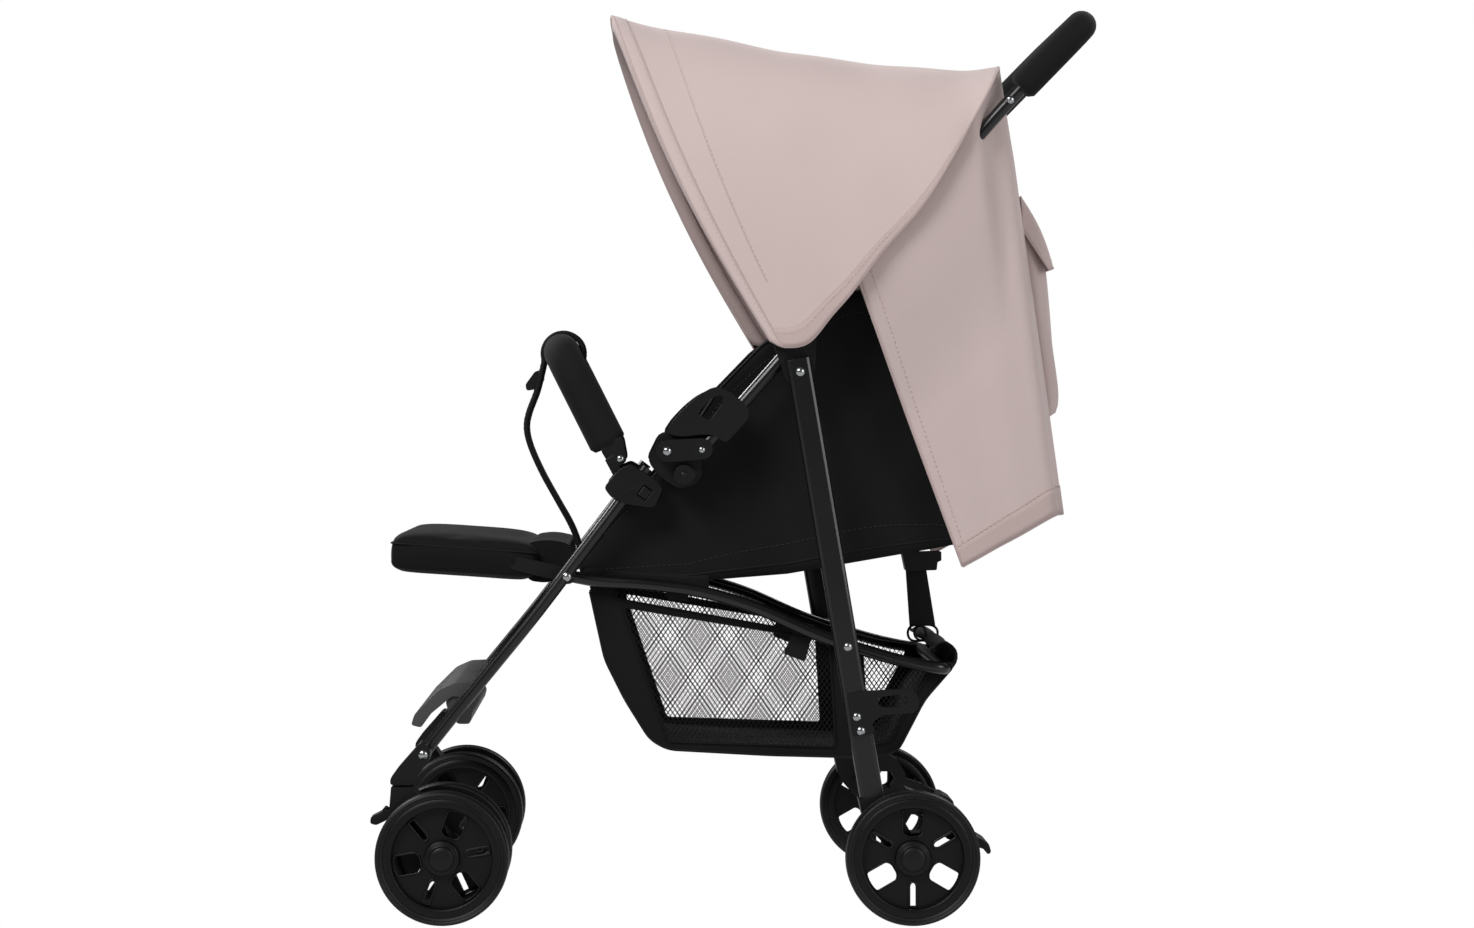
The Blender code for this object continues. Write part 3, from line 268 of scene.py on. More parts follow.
# Polypropylene webbing is ribbed across, 1.2 mm a rib.
WEBBING = Finish("polypropylene webbing", "webbing", "131314", "19191a", 0.64, Pattern.WEBBING, 0.0018,
                 0.00016, ior=1.32, on_uv=True)


# Mesh making

def linked(name: str, data: bpy.types.ID) -> Obj:
    """Make an object of some data and put it into the scene.

    Args:
        name: The object's name.
        data: Its mesh, curve, camera or light.

    Returns:
        The object.
    """
    obj = bpy.data.objects.new(name, data)
    bpy.context.scene.collection.objects.link(obj)
    return obj


def dress(obj: Obj, finish: Finish) -> Obj:
    """Give a piece its finish.

    Args:
        obj: The piece.
        finish: Its finish.

    Returns:
        The piece.
    """
    obj.data.materials.clear()
    obj.data.materials.append(finish.material())
    return obj


def unit(rows: Points) -> Points:
    """Vectors made one long: each divided by its length."""
    return rows / np.linalg.norm(rows, axis=-1, keepdims=True)


def steps_of(line: Points) -> Points:
    """The distance from each point of a line to the next."""
    return np.linalg.norm(np.diff(line, axis=0), axis=1)


def run_of(line: Points) -> Points:
    """The distance along a line of each of its points, from 0."""
    return np.concatenate([[0], np.cumsum(steps_of(line))])


def read_at(line: Points, run: Points, at: Points) -> Points:
    """The points of a line at some distances along it, straight between its own."""
    return np.stack([np.interp(at, run, line[:, k]) for k in range(3)], -1)


def distinct(line: Points, least: float = 1e-6) -> Points:
    """A line without the points that repeat the one before."""
    return line[np.r_[True, steps_of(line) > least]]


def mirrored(left: list) -> list:
    """A route on the left side, carried on to its mirror image on the right."""
    return left + [(x, -y, z) for x, y, z in reversed(left)]


def places_of(mesh: bpy.types.Mesh) -> Points:
    """Read a mesh's vertex places.

    Args:
        mesh: The mesh.

    Returns:
        Rows of x, y, z.
    """
    flat = np.empty(len(mesh.vertices) * 3)
    mesh.vertices.foreach_get("co", flat)
    return flat.reshape(-1, 3)


def shade_smooth(mesh: bpy.types.Mesh) -> None:
    """Shade all of a mesh's faces smooth."""
    mesh.polygons.foreach_set("use_smooth", [True] * len(mesh.polygons))


def mesh_piece(name: str, points: Points, faces: Sequence, finish: Finish, smooth: bool = True,
               uv: Points | None = None) -> Obj:
    """Make a piece of points and faces.

    Args:
        name: The piece's name.
        points: Vertex places, as rows of x, y, z.
        faces: Vertex numbers of each face.
        finish: Its finish.
        smooth: Whether faces are shaded smooth.
        uv: A u, v pair for each vertex, or None.

    Returns:
        The object, at the origin.
    """
    mesh = bpy.data.meshes.new(name)
    mesh.from_pydata(np.asarray(points, float).reshape(-1, 3).tolist(), [], [tuple(f) for f in faces])
    if smooth:
        shade_smooth(mesh)
    if uv is not None:
        corners = np.empty(len(mesh.loops), np.int32)
        mesh.loops.foreach_get("vertex_index", corners)
        layer = mesh.uv_layers.new(name="cloth")
        layer.data.foreach_set("uv", np.asarray(uv, np.float32)[corners].ravel())
    return dress(linked(name, mesh), finish)


def weld(obj: Obj, distance: float = 1e-6) -> Obj:
    """Close a piece: merge its near points, then turn every face outwards.

    Args:
        obj: The piece.
        distance: How near two points are to be merged, in metres.

    Returns:
        The piece.
    """
    bm = bmesh.new()
    bm.from_mesh(obj.data)
    bmesh.ops.remove_doubles(bm, verts=bm.verts, dist=distance)
    bmesh.ops.recalc_face_normals(bm, faces=bm.faces)
    bm.to_mesh(obj.data)
    bm.free()
    return obj


def grid_faces(rows: int, columns: int, wrap_rows: bool = False, wrap_columns: bool = False) -> np.ndarray:
    """Quads between the points of a grid: (r, c), (r, c+1), (r+1, c+1), (r+1, c), modulo any wrap.

    Args:
        rows: How many rows of points there are.
        columns: How many points a row has.
        wrap_rows: Whether the last row joins the first.
        wrap_columns: Whether a row's end joins its start.

    Returns:
        Four vertex numbers a row.
    """
    r, c = np.meshgrid(np.arange(rows if wrap_rows else rows - 1),
                       np.arange(columns if wrap_columns else columns - 1), indexing="ij")
    r2, c2 = (r + 1) % rows, (c + 1) % columns
    return np.stack([r * columns + c, r * columns + c2, r2 * columns + c2, r2 * columns + c],
                    -1).reshape(-1, 4)


def bars_piece(name: str, points: Points, finish: Finish, smooth: bool = True) -> Obj:
    """Many four-sided bars as one piece.

    Args:
        name: The piece's name.
        points: Bars by eight by 3: four points round a bar's start, then four round its end.
        finish: Its finish.
        smooth: Whether faces are shaded smooth.

    Returns:
        The object.
    """
    bar = np.array([[0, 1, 5, 4], [1, 2, 6, 5], [2, 3, 7, 6], [3, 0, 4, 7], [3, 2, 1, 0], [4, 5, 6, 7]])
    faces = (np.arange(len(points))[:, None, None] * 8 + bar).reshape(-1, 4)
    return weld(mesh_piece(name, points, faces.tolist(), finish, smooth))


def pouch_piece(name: str, front: Points, rear: Points, finish: Finish, distance: float,
                uv: Points | None = None) -> Obj:
    """Two like grids, back to back, closed to one skin where their rims meet.

    Args:
        name: The piece's name.
        front: The outer grid.
        rear: The inner grid, whose faces are turned over.
        finish: Its finish.
        distance: How near two points are to be merged, in metres.
        uv: A u, v pair for each vertex, or None.

    Returns:
        The object.
    """
    faces = grid_faces(*front.shape[:2])
    points = np.concatenate([front.reshape(-1, 3), rear.reshape(-1, 3)])
    both = faces.tolist() + (faces[:, ::-1] + len(points) // 2).tolist()
    return weld(mesh_piece(name, points, both, finish, uv=uv), distance)


def lengths_uv(grid: Points) -> Points:
    """UV in metres: arc length along each row for u, from its middle, and down each column for v.

    Args:
        grid: Points, as rows by columns by 3.

    Returns:
        A u, v pair for each point.
    """
    across = np.linalg.norm(np.diff(grid, axis=1), axis=2)
    down = np.linalg.norm(np.diff(grid, axis=0), axis=2)
    u = np.concatenate([np.zeros((grid.shape[0], 1)), np.cumsum(across, axis=1)], axis=1)
    v = np.concatenate([np.zeros((1, grid.shape[1])), np.cumsum(down, axis=0)], axis=0)
    u -= u[:, u.shape[1] // 2][:, None]
    return np.stack([u, v], -1).reshape(-1, 2)


def sheet_normals(grid: Points) -> Points:
    """Unit normals of a grid surface: the cross product of its two tangents."""
    normal = np.cross(np.gradient(grid, axis=0), np.gradient(grid, axis=1))
    return normal / np.maximum(np.linalg.norm(normal, axis=2, keepdims=True), 1e-12)


def outwards(grid: Points, middle: Sequence[float]) -> Points:
    """Unit normals of a grid surface that point away from a middle."""
    normal = sheet_normals(grid)
    return normal * np.sign(np.sum(normal * (grid - np.array(middle)), axis=2, keepdims=True))


def cloth_sheet(name: str, grid: Points, finish: Finish, thickness: float = 0.0012) -> Obj:
    """A closed sheet of cloth over a grid, given its thickness by Solidify.

    Args:
        name: The piece's name.
        grid: Points, as rows by columns by 3.
        finish: Its finish.
        thickness: The cloth's thickness in metres.

    Returns:
        The object.
    """
    made = mesh_piece(name, grid, grid_faces(*grid.shape[:2]), finish, uv=lengths_uv(grid))
    wall = made.modifiers.new("wall", "SOLIDIFY")
    wall.thickness = thickness
    wall.offset = 0.0
    return made


def tube_grid(path: Points, radius: float | Points, sides: int, flat: float) -> Points:
    """Rings along a path: centre + r (cos a) n + flat r (sin a) b for a from 0 to 2 pi.

    The normal n is the last one less its share along the new tangent, made unit again, so that it
    is carried on without twist, and b is the tangent crossed with n.

    Args:
        path: The centre line.
        radius: One radius, or one for each point.
        sides: How many points a ring has.
        flat: The section's thickness as a share of its width.

    Returns:
        Rings by sides by 3.
    """
    tangent = unit(np.gradient(path, axis=0))
    carried = np.array([0.0, 1.0, 0.0] if abs(tangent[0][1]) < 0.9 else [1.0, 0.0, 0.0])
    normal = np.empty_like(path)
    for i, direction in enumerate(tangent):
        carried = unit(carried - direction * (carried @ direction))
        normal[i] = carried
    angle = np.linspace(0, 2 * math.pi, sides, endpoint=False)
    radius = np.broadcast_to(np.asarray(radius, float).reshape(-1, 1, 1), (len(path), 1, 1))
    across = np.cos(angle)[None, :, None] * normal[:, None]
    over = flat * np.sin(angle)[None, :, None] * np.cross(tangent, normal)[:, None]
    return path[:, None] + radius * (across + over)


def tube_piece(name: str, path: Sequence, radius: float | Points, finish: Finish, sides: int = 20,
               flat: float = 1.0) -> Obj:
    """A solid bar of round or oval section along a path, closed by a fan at each end.

    Args:
        name: The piece's name.
        path: The centre line.
        radius: One radius, or one for each point.
        finish: Its finish.
        sides: How many sides the section has.
        flat: The section's thickness as a share of its width.

    Returns:
        The object.
    """
    path = np.asarray(path, float)
    points = np.concatenate([tube_grid(path, radius, sides, flat).reshape(-1, 3), path[:1], path[-1:]])
    count = len(path) * sides
    here = np.arange(sides)
    after, tail = (here + 1) % sides, count - sides
    fans = [[np.full(sides, count), after, here], [np.full(sides, count + 1), tail + here, tail + after]]
    faces = grid_faces(len(path), sides, wrap_columns=True).tolist()
    faces += np.transpose(fans, (2, 0, 1)).reshape(-1, 3).tolist()
    made = weld(mesh_piece(name, points, faces, finish))
    made.data.set_sharp_from_angle(angle=math.radians(50))
    return made


def turned_piece(name: str, profile: Sequence, centre: Sequence, finish: Finish, steps: int = 72,
                 flip: float = 1.0) -> Obj:
    """A profile turned about the Y axis through a centre: x = r cos a, z = r sin a.

    Args:
        name: The piece's name.
        profile: Pairs of radius and place along the axis. Equal ends close it to a ring.
        centre: The point that the profile's places count from.
        finish: Its finish.
        steps: How many steps the turn has.
        flip: 1, or -1 to turn the profile round along the axis.

    Returns:
        The object.
    """
    profile = np.asarray(profile, float)
    angle = np.linspace(0, 2 * math.pi, steps, endpoint=False)
    grid = np.stack([profile[:, :1] * np.cos(angle), np.repeat(flip * profile[:, 1:], steps, 1),
                     profile[:, :1] * np.sin(angle)], -1) + np.asarray(centre, float)
    wrapped = bool(np.allclose(profile[0], profile[-1]))
    if wrapped:
        grid = grid[:-1]
    made = weld(mesh_piece(name, grid, grid_faces(len(grid), steps, wrapped, True), finish))
    made.data.set_sharp_from_angle(angle=math.radians(40))
    return made


def curved(points: Sequence, spacing: float, radius: float) -> Points:
    """A path through 3-D corners whose turns are quadratic curves.

    At each corner the curve is (1-t)^2 p0 + 2 t (1-t) c + t^2 p1, with p0 and p1 one radius away.

    Args:
        points: The corners, with the path's two ends.
        spacing: The distance between the path's points.
        radius: How far from its corner a turn starts.

    Returns:
        The path's points, evenly spaced.
    """
    corners = [np.asarray(p, float) for p in points]
    made = [corners[0]]
    for before, here, after in zip(corners, corners[1:], corners[2:]):
        back, ahead = before - here, after - here
        reach = min(radius, np.linalg.norm(back) * 0.49, np.linalg.norm(ahead) * 0.49)
        t = np.linspace(0, 1, 9)[:, None]
        made.extend((here + unit(back) * reach) * (1 - t) ** 2 + here * 2 * t * (1 - t)
                    + (here + unit(ahead) * reach) * t ** 2)
    made.append(corners[-1])
    line = distinct(np.array(made), 1e-7)
    run = run_of(line)
    return read_at(line, run, np.linspace(0, run[-1], max(int(run[-1] / spacing), 4) + 1))


def soft_corners(points: Sequence, radius: float, steps: int = 5) -> Points:
    """A closed XZ outline whose corners are quadratic curves, as in curved.

    Args:
        points: The corners.
        radius: How far from its corner a turn starts.
        steps: How many points a turn has.

    Returns:
        The outline's points.
    """
    corners = np.asarray(points, float)
    back, ahead = np.roll(corners, 1, 0) - corners, np.roll(corners, -1, 0) - corners
    long_back = np.linalg.norm(back, axis=1, keepdims=True)
    long_ahead = np.linalg.norm(ahead, axis=1, keepdims=True)
    reach = np.minimum(radius, np.minimum(long_back, long_ahead) * 0.45)
    start, end = corners + back / long_back * reach, corners + ahead / long_ahead * reach
    t = np.linspace(0, 1, steps)[None, :, None]
    made = (1 - t) ** 2 * start[:, None] + 2 * t * (1 - t) * corners[:, None] + t ** 2 * end[:, None]
    return made.reshape(-1, 2)


def circle(centre: Sequence[float], radius: float, steps: int = 72) -> Points:
    """A circle in the XZ plane: (cx + r cos a, cz + r sin a)."""
    angle = np.linspace(0, 2 * math.pi, steps, endpoint=False)
    return np.stack([centre[0] + radius * np.cos(angle), centre[1] + radius * np.sin(angle)], -1)


def plate_piece(name: str, outline: Sequence, y_range: Sequence[float], finish: Finish,
                holes: Sequence = (), bevel: float = 0.0008) -> Obj:
    """A flat outline in the XZ plane, as thick as y_range.

    Args:
        name: The piece's name.
        outline: Its corners as x, z.
        y_range: The places of its two faces.
        finish: Its finish.
        holes: Outlines that are cut out.
        bevel: The radius of its rounded edges.

    Returns:
        The object.
    """
    curve = bpy.data.curves.new(name, "CURVE")
    curve.dimensions = "2D"
    curve.fill_mode = "BOTH"
    curve.extrude = abs(y_range[1] - y_range[0]) / 2
    for points in (outline, *holes):
        spline = curve.splines.new("POLY")
        spline.use_cyclic_u = True
        spline.points.add(len(points) - 1)
        spline.points.foreach_set("co", [c for x, z in points for c in (x, z, 0.0, 1.0)])
    drawn = linked(name + "_line", curve)
    bpy.context.view_layer.update()
    mesh = bpy.data.meshes.new_from_object(drawn.evaluated_get(bpy.context.evaluated_depsgraph_get()))
    bpy.data.objects.remove(drawn)
    flat = places_of(mesh)
    placed = np.stack([flat[:, 0], flat[:, 2] + sum(y_range) / 2, flat[:, 1]], -1)
    faces = [tuple(p.vertices) for p in mesh.polygons]
    bpy.data.meshes.remove(mesh)
    return rounded_edges(weld(mesh_piece(name, placed, faces, finish)), bevel)


def rounded_edges(obj: Obj, width: float) -> Obj:
    """Round a piece's sharp edges with a live bevel.

    Args:
        obj: The piece.
        width: The bevel's width, or 0 for none.

    Returns:
        The piece.
    """
    sharp = math.radians(35)
    obj.data.set_sharp_from_angle(angle=sharp)
    if width > 0:
        bevel = obj.modifiers.new("edges", "BEVEL")
        bevel.width = width
        bevel.segments = 2
        bevel.limit_method = "ANGLE"
        bevel.angle_limit = sharp
        bevel.harden_normals = True
    return obj


def moulded_from(node: str, finish: Finish, bevel: float) -> Obj:
    """A rigid node's own shape with merged points and rounded edges, in place of its loose facets.

    Args:
        node: The CAD node to copy and stand for.
        finish: Its finish.
        bevel: The radius of its moulded edges.

    Returns:
        The piece, riding on the node's body.
    """
    mesh = frame["nodes"][node].data.copy()
    made = linked(node + "_skin", mesh)
    bm = bmesh.new()
    bm.from_mesh(mesh)
    bmesh.ops.remove_doubles(bm, verts=bm.verts, dist=2e-5)
    bmesh.ops.dissolve_limit(bm, angle_limit=math.radians(1.5), verts=bm.verts, edges=bm.edges)
    bm.to_mesh(mesh)
    bm.free()
    shade_smooth(mesh)
    return stand_in(rounded_edges(dress(made, finish), bevel), node, BODY_OF[node])


def stand_in(piece: Obj, node: str, body: str) -> Obj:
    """Let a piece stand for a CAD node and ride on a body."""
    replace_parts(piece, node)
    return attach(piece, body)


def stitches(name: str, line: Points, finish: Finish, pitch: float = 0.006, long: float = 0.004) -> Obj:
    """A row of stitches: one small four-sided bar every pitch, drawn as coarse as shows.

    Args:
        name: The piece's name.
        line: The line that they follow.
        finish: The thread.
        pitch: The distance from one stitch to the next.
        long: A stitch's length.

    Returns:
        The object.
    """
    thick = 0.0004
    run = run_of(line)
    starts = np.arange(pitch / 2, run[-1] - long, pitch)
    a, b = read_at(line, run, starts), read_at(line, run, starts + long)
    along = unit(b - a)
    side = unit(np.cross(along, [0.0, 0.0, 1.0]) + np.cross(along, [0.0, 1.0, 0.0]))
    rise = np.cross(side, along)
    ring = [side * thick, rise * thick, -side * thick, -rise * thick]
    return bars_piece(name, np.stack([a + r for r in ring] + [b + r for r in ring], 1), finish)


def puffed(obj: Obj) -> None:
    """Swell a closed pad by a short cloth simulation, with a limit to how far a point moves.

    Args:
        obj: The pad, whose mesh is replaced.
    """
    voxel, cap, frames = 0.0035, 0.0015, 20
    remesh = obj.modifiers.new("remesh", "REMESH")
    remesh.mode = "VOXEL"
    remesh.voxel_size = voxel
    bpy.context.view_layer.update()
    mesh = bpy.data.meshes.new_from_object(obj.evaluated_get(bpy.context.evaluated_depsgraph_get()))
    obj.modifiers.clear()
    finish = obj.data.materials[0]
    obj.data = mesh
    mesh.materials.clear()
    mesh.materials.append(finish)
    rest = places_of(mesh)
    cloth = obj.modifiers.new("cloth", "CLOTH")
    cloth.settings.use_pressure = True
    cloth.settings.uniform_pressure_force = 3.0
    cloth.settings.effector_weights.gravity = 0.0
    cloth.settings.tension_stiffness = 25.0
    scene = bpy.context.scene
    for step in range(1, frames + 1):
        scene.frame_set(step)
    swollen = obj.evaluated_get(bpy.context.evaluated_depsgraph_get())
    move = places_of(swollen.to_mesh()) - rest
    far = np.maximum(np.linalg.norm(move, axis=1, keepdims=True), 1e-9)
    rest = rest + move * np.minimum(1.0, cap / far)
    obj.modifiers.clear()
    scene.frame_set(1)
    mesh.vertices.foreach_set("co", rest.ravel())
    shade_smooth(mesh)
    mesh.update()
    soften = obj.modifiers.new("soften", "SMOOTH")
    soften.factor = 0.5
    soften.iterations = 4


BODY_OF = {node: body for body, nodes in frame["record"]["behaviour"]["bodies"].items() for node in nodes}


# Stage

@dataclass
class Stage:
    """The pale floor, the soft light and the camera of a plain side view."""

    camera_at: tuple[float, float, float] = (-0.109, -3.603, 0.558)
    lens: float = 73.64
    shift: tuple[float, float] = (0.0658, -0.0265)

    def build(self) -> None:
        """Make the camera, the lamps, the world and the floor."""
        scene = bpy.context.scene
        scene.view_settings.view_transform = "Standard"
        data = bpy.data.cameras.new("side_camera")
        data.lens, data.sensor_width = self.lens, 36.0
        data.shift_x, data.shift_y = self.shift
        camera = linked("side_camera", data)
        camera.location = self.camera_at
        camera.rotation_euler = (math.pi / 2, 0.0, 0.0)
        scene.camera = camera
        for name, place, aim, size, power in (
                ("key_lamp", (-1.9, -2.6, 2.9), (0.0, 0.0, 0.45), (1.8, 1.4), 92.0),
                ("fill_lamp", (2.6, -2.2, 1.5), (0.0, 0.0, 0.5), (1.6, 1.6), 30.0),
                ("edge_lamp", (-2.0, 1.6, 2.2), (0.0, 0.0, 0.55), (1.6, 0.5), 46.0),
                ("back_lamp", (1.6, 2.2, 2.2), (0.0, 0.0, 0.6), (1.4, 1.0), 22.0)):
            self.lamp(name, place, aim, size, power)
        self.world(scene)
        self.floor()

    @staticmethod
    def lamp(name: str, place: Sequence, aim: Sequence, size: tuple[float, float], power: float) -> None:
        """One soft area lamp that looks at a point.

        Args:
            name: The lamp's name.
            place: Where it stands.
            aim: The point that it looks at.
            size: Its width and height.
            power: Its power in watts.
        """
        data = bpy.data.lights.new(name, "AREA")
        data.shape = "RECTANGLE"
        data.size, data.size_y = size
        data.energy = power
        lamp = linked(name, data)
        lamp.location = place
        lamp.rotation_euler = (Vector(aim) - Vector(place)).to_track_quat("-Z", "Y").to_euler()

    @staticmethod
    def strength(tree: Tree, seen: float, mirrored: float, cast: float) -> Socket:
        """A strength for the eye, one for what mirrors it and one for the light that it casts.

        It is cast + (seen - cast) camera + (mirrored - cast) glossy, each ray's mark being 0 or 1.

        Args:
            tree: The material's or the world's nodes.
            seen: The strength to the camera.
            mirrored: The strength in reflections.
            cast: The strength as a light.

        Returns:
            The socket that carries the strength.
        """
        path = add_node(tree, "ShaderNodeLightPath")
        eye = add_node(tree, "ShaderNodeMath", {0: path.outputs["Is Camera Ray"], 1: seen - cast, 2: cast},
                       operation="MULTIPLY_ADD")
        return add_node(tree, "ShaderNodeMath", {0: path.outputs["Is Glossy Ray"], 1: mirrored - cast,
                                                 2: eye.outputs[0]}, operation="MULTIPLY_ADD").outputs[0]

    def glowing(self, made: bpy.types.Material | bpy.types.World, kind: str, output: str, mirrored: float,
                cast: float) -> None:
        """Give the world or the floor's material one white glow, of strength 1 to the eye.

        Args:
            made: What gets the glow.
            kind: The type name of the node that glows.
            output: The type name of the output node.
            mirrored: The strength in reflections.
            cast: The strength as a light.
        """
        made.use_nodes = True
        tree = made.node_tree
        tree.nodes.clear()
        strength = self.strength(tree, 1.0, mirrored, cast)
        glow = add_node(tree, kind, {"Color": (1, 1, 1, 1), "Strength": strength})
        add_node(tree, output, {0: glow.outputs[0]})

    def world(self, scene: bpy.types.Scene) -> None:
        """A white surround to the eye, and a softer one as a light."""
        scene.world = bpy.data.worlds.new("soft_room")
        self.glowing(scene.world, "ShaderNodeBackground", "ShaderNodeOutputWorld", 0.07, 0.36)

    def floor(self) -> None:
        """A wide floor that is as white to the eye as the surround."""
        half, z = 6.0, -0.0008
        material = bpy.data.materials.new("floor_paint")
        self.glowing(material, "ShaderNodeEmission", "ShaderNodeOutputMaterial", 0.55, 0.4)
        mesh = bpy.data.meshes.new("floor")
        mesh.from_pydata([(-half, -half, z), (half, -half, z), (half, half, z), (-half, half, z)], [],
                         [(0, 1, 2, 3)])
        mesh.materials.append(material)
        linked("floor", mesh)


# Wheels

@dataclass
class Wheel:
    """One wheel: a tyre, a rim with three windows and three lipped slots, a hub and its cap."""

    name: str
    body: str
    centre: tuple[float, float, float]
    outward: float
    phase: float
    half: float = 0.013

    def build(self) -> None:
        """Make the wheel's pieces and let them ride on its body."""
        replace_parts(self.turned("tyre", self.tread(), EVA, 96), self.name + "_tyre")
        h = self.half
        barrel = [(0.0556, 0.002), (0.0562, 0.0098), (0.057, 0.011), (0.0582, 0.0114), (0.064, 0.0114),
                  (0.0664, 0.01), (0.0664, -0.01), (0.064, -0.0114), (0.0582, -0.0114),
                  (0.057, -0.011), (0.0562, -0.0098), (0.0556, -0.002), (0.0556, 0.002)]
        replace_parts(self.turned("rim", barrel, POLYPROPYLENE, 96), self.name + "_rim")
        hub = [(0.0, h - 0.0012), (0.013, h - 0.0012), (0.0137, h - 0.0014), (0.0139, h - 0.0022),
               (0.015, h - 0.003), (0.0182, h - 0.0033), (0.0194, h - 0.004), (0.02, h - 0.0056),
               (0.0206, 0.002), (0.02, -0.0026), (0.018, -0.004), (0.0152, -h + 0.0008),
               (0.0146, -h + 0.0004), (0.0049, -h + 0.0004), (0.0049, 0.0072), (0.0, 0.0072)]
        self.turned("hub", hub, POLYPROPYLENE, 64)
        cap = [(0.0, h + 0.0006), (0.0072, h + 0.0005), (0.011, h), (0.0124, h - 0.0008),
               (0.0128, h - 0.002), (0.0, h - 0.002)]
        self.turned("cap", cap, NYLON, 48)
        self.web()

    def turned(self, part: str, profile: Sequence, finish: Finish, steps: int) -> Obj:
        """Turn a profile about the axle and let it ride.

        Args:
            part: What the piece's name ends in.
            profile: Pairs of radius and place outwards from the wheel's middle.
            finish: Its finish.
            steps: How many steps the turn has.

        Returns:
            The piece.
        """
        made = turned_piece(f"{self.name}_{part}", profile, self.centre, finish, steps, self.outward)
        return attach(made, self.body)

    def tread(self) -> list[tuple[float, float]]:
        """The tyre's section: rounded shoulders, two fine side lines and two grooves round it."""
        side = [(0.066, 0.0098), (0.0676, 0.0112), (0.069, 0.0118), (0.0694, 0.0115), (0.0699, 0.0121),
                (0.0716, 0.0129), (0.073, 0.0124), (0.0742, 0.0104), (0.0749, 0.0074), (0.075, 0.0048),
                (0.0744, 0.0044), (0.0744, 0.0036), (0.075, 0.0032), (0.075, 0.0)]
        return side + [(r, -a) for r, a in side[::-1][1:]] + [side[0]]

    def window(self, turn: float, shape: Sequence, corner: float) -> Points:
        """An outline given along and across a spoke, turned to its angle.

        Args:
            turn: The spoke's angle from the wheel's own start, in degrees.
            shape: The corners along and across the spoke.
            corner: The corners' radius.

        Returns:
            The outline's points.
        """
        angle = math.radians(turn + self.phase)
        along, across = np.asarray(shape, float).T
        placed = np.stack([self.centre[0] + along * math.cos(angle) - across * math.sin(angle),
                           self.centre[2] + along * math.sin(angle) + across * math.cos(angle)], -1)
        return soft_corners(placed, corner)

    def web(self) -> None:
        """The recessed plate between hub and rim, with its openings and their raised lips."""
        wide = [(0.0236, -0.006), (0.0276, -0.0118), (0.0532, -0.012), (0.055, -0.0042),
                (0.055, 0.0042), (0.0532, 0.012), (0.0276, 0.0118), (0.0236, 0.006)]
        slot = [(0.0262, -0.0018), (0.03, -0.0043), (0.0542, -0.0043), (0.0542, 0.0043),
                (0.03, 0.0043), (0.0262, 0.0018)]
        y = self.centre[1]
        holes = [self.window(90 + 120 * k, wide, 0.003) for k in range(3)]
        slots = [self.window(30 + 120 * k, slot, 0.002) for k in range(3)]
        ring = circle((self.centre[0], self.centre[2]), 0.056)
        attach(plate_piece(self.name + "_web", ring, (y - 0.0025, y + 0.0025), POLYPROPYLENE, holes + slots,
                            0.0006), self.body)
        for part, outlines, radius in (("lip", slots, 0.0015), ("edge", holes, 0.001)):
            for k, outline in enumerate(outlines):
                loop = np.insert(outline, 1, y + self.outward * 0.0027, axis=1)
                loop = np.concatenate([loop, loop[:2]])
                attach(tube_piece(f"{self.name}_{part}_{k + 1}", loop, radius, NYLON, 8), self.body)


# Chassis

@dataclass
class Rivet:
    """A domed rivet head on both sides of the frame, standing off a face at |y|."""

    name: str
    body: str
    place: tuple[float, float]
    face: float
    radius: float
    finish: Finish = ZINC
    only: str = ""

    def build(self) -> None:
        """Make the head on each side."""
        dome = self.radius * np.array([(0.0, 0.48), (0.35, 0.45), (0.68, 0.32), (0.92, 0.12), (1.0, 0.0),
                                       (1.0, -0.25), (0.0, -0.25)])
        for side, sign in SIDES.items():
            if self.only in ("", side):
                centre = (self.place[0], sign * self.face, self.place[1])
                head = turned_piece(f"rivet_{self.name}_{side}", dome, centre, self.finish, 24, sign)
                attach(head, self.body)


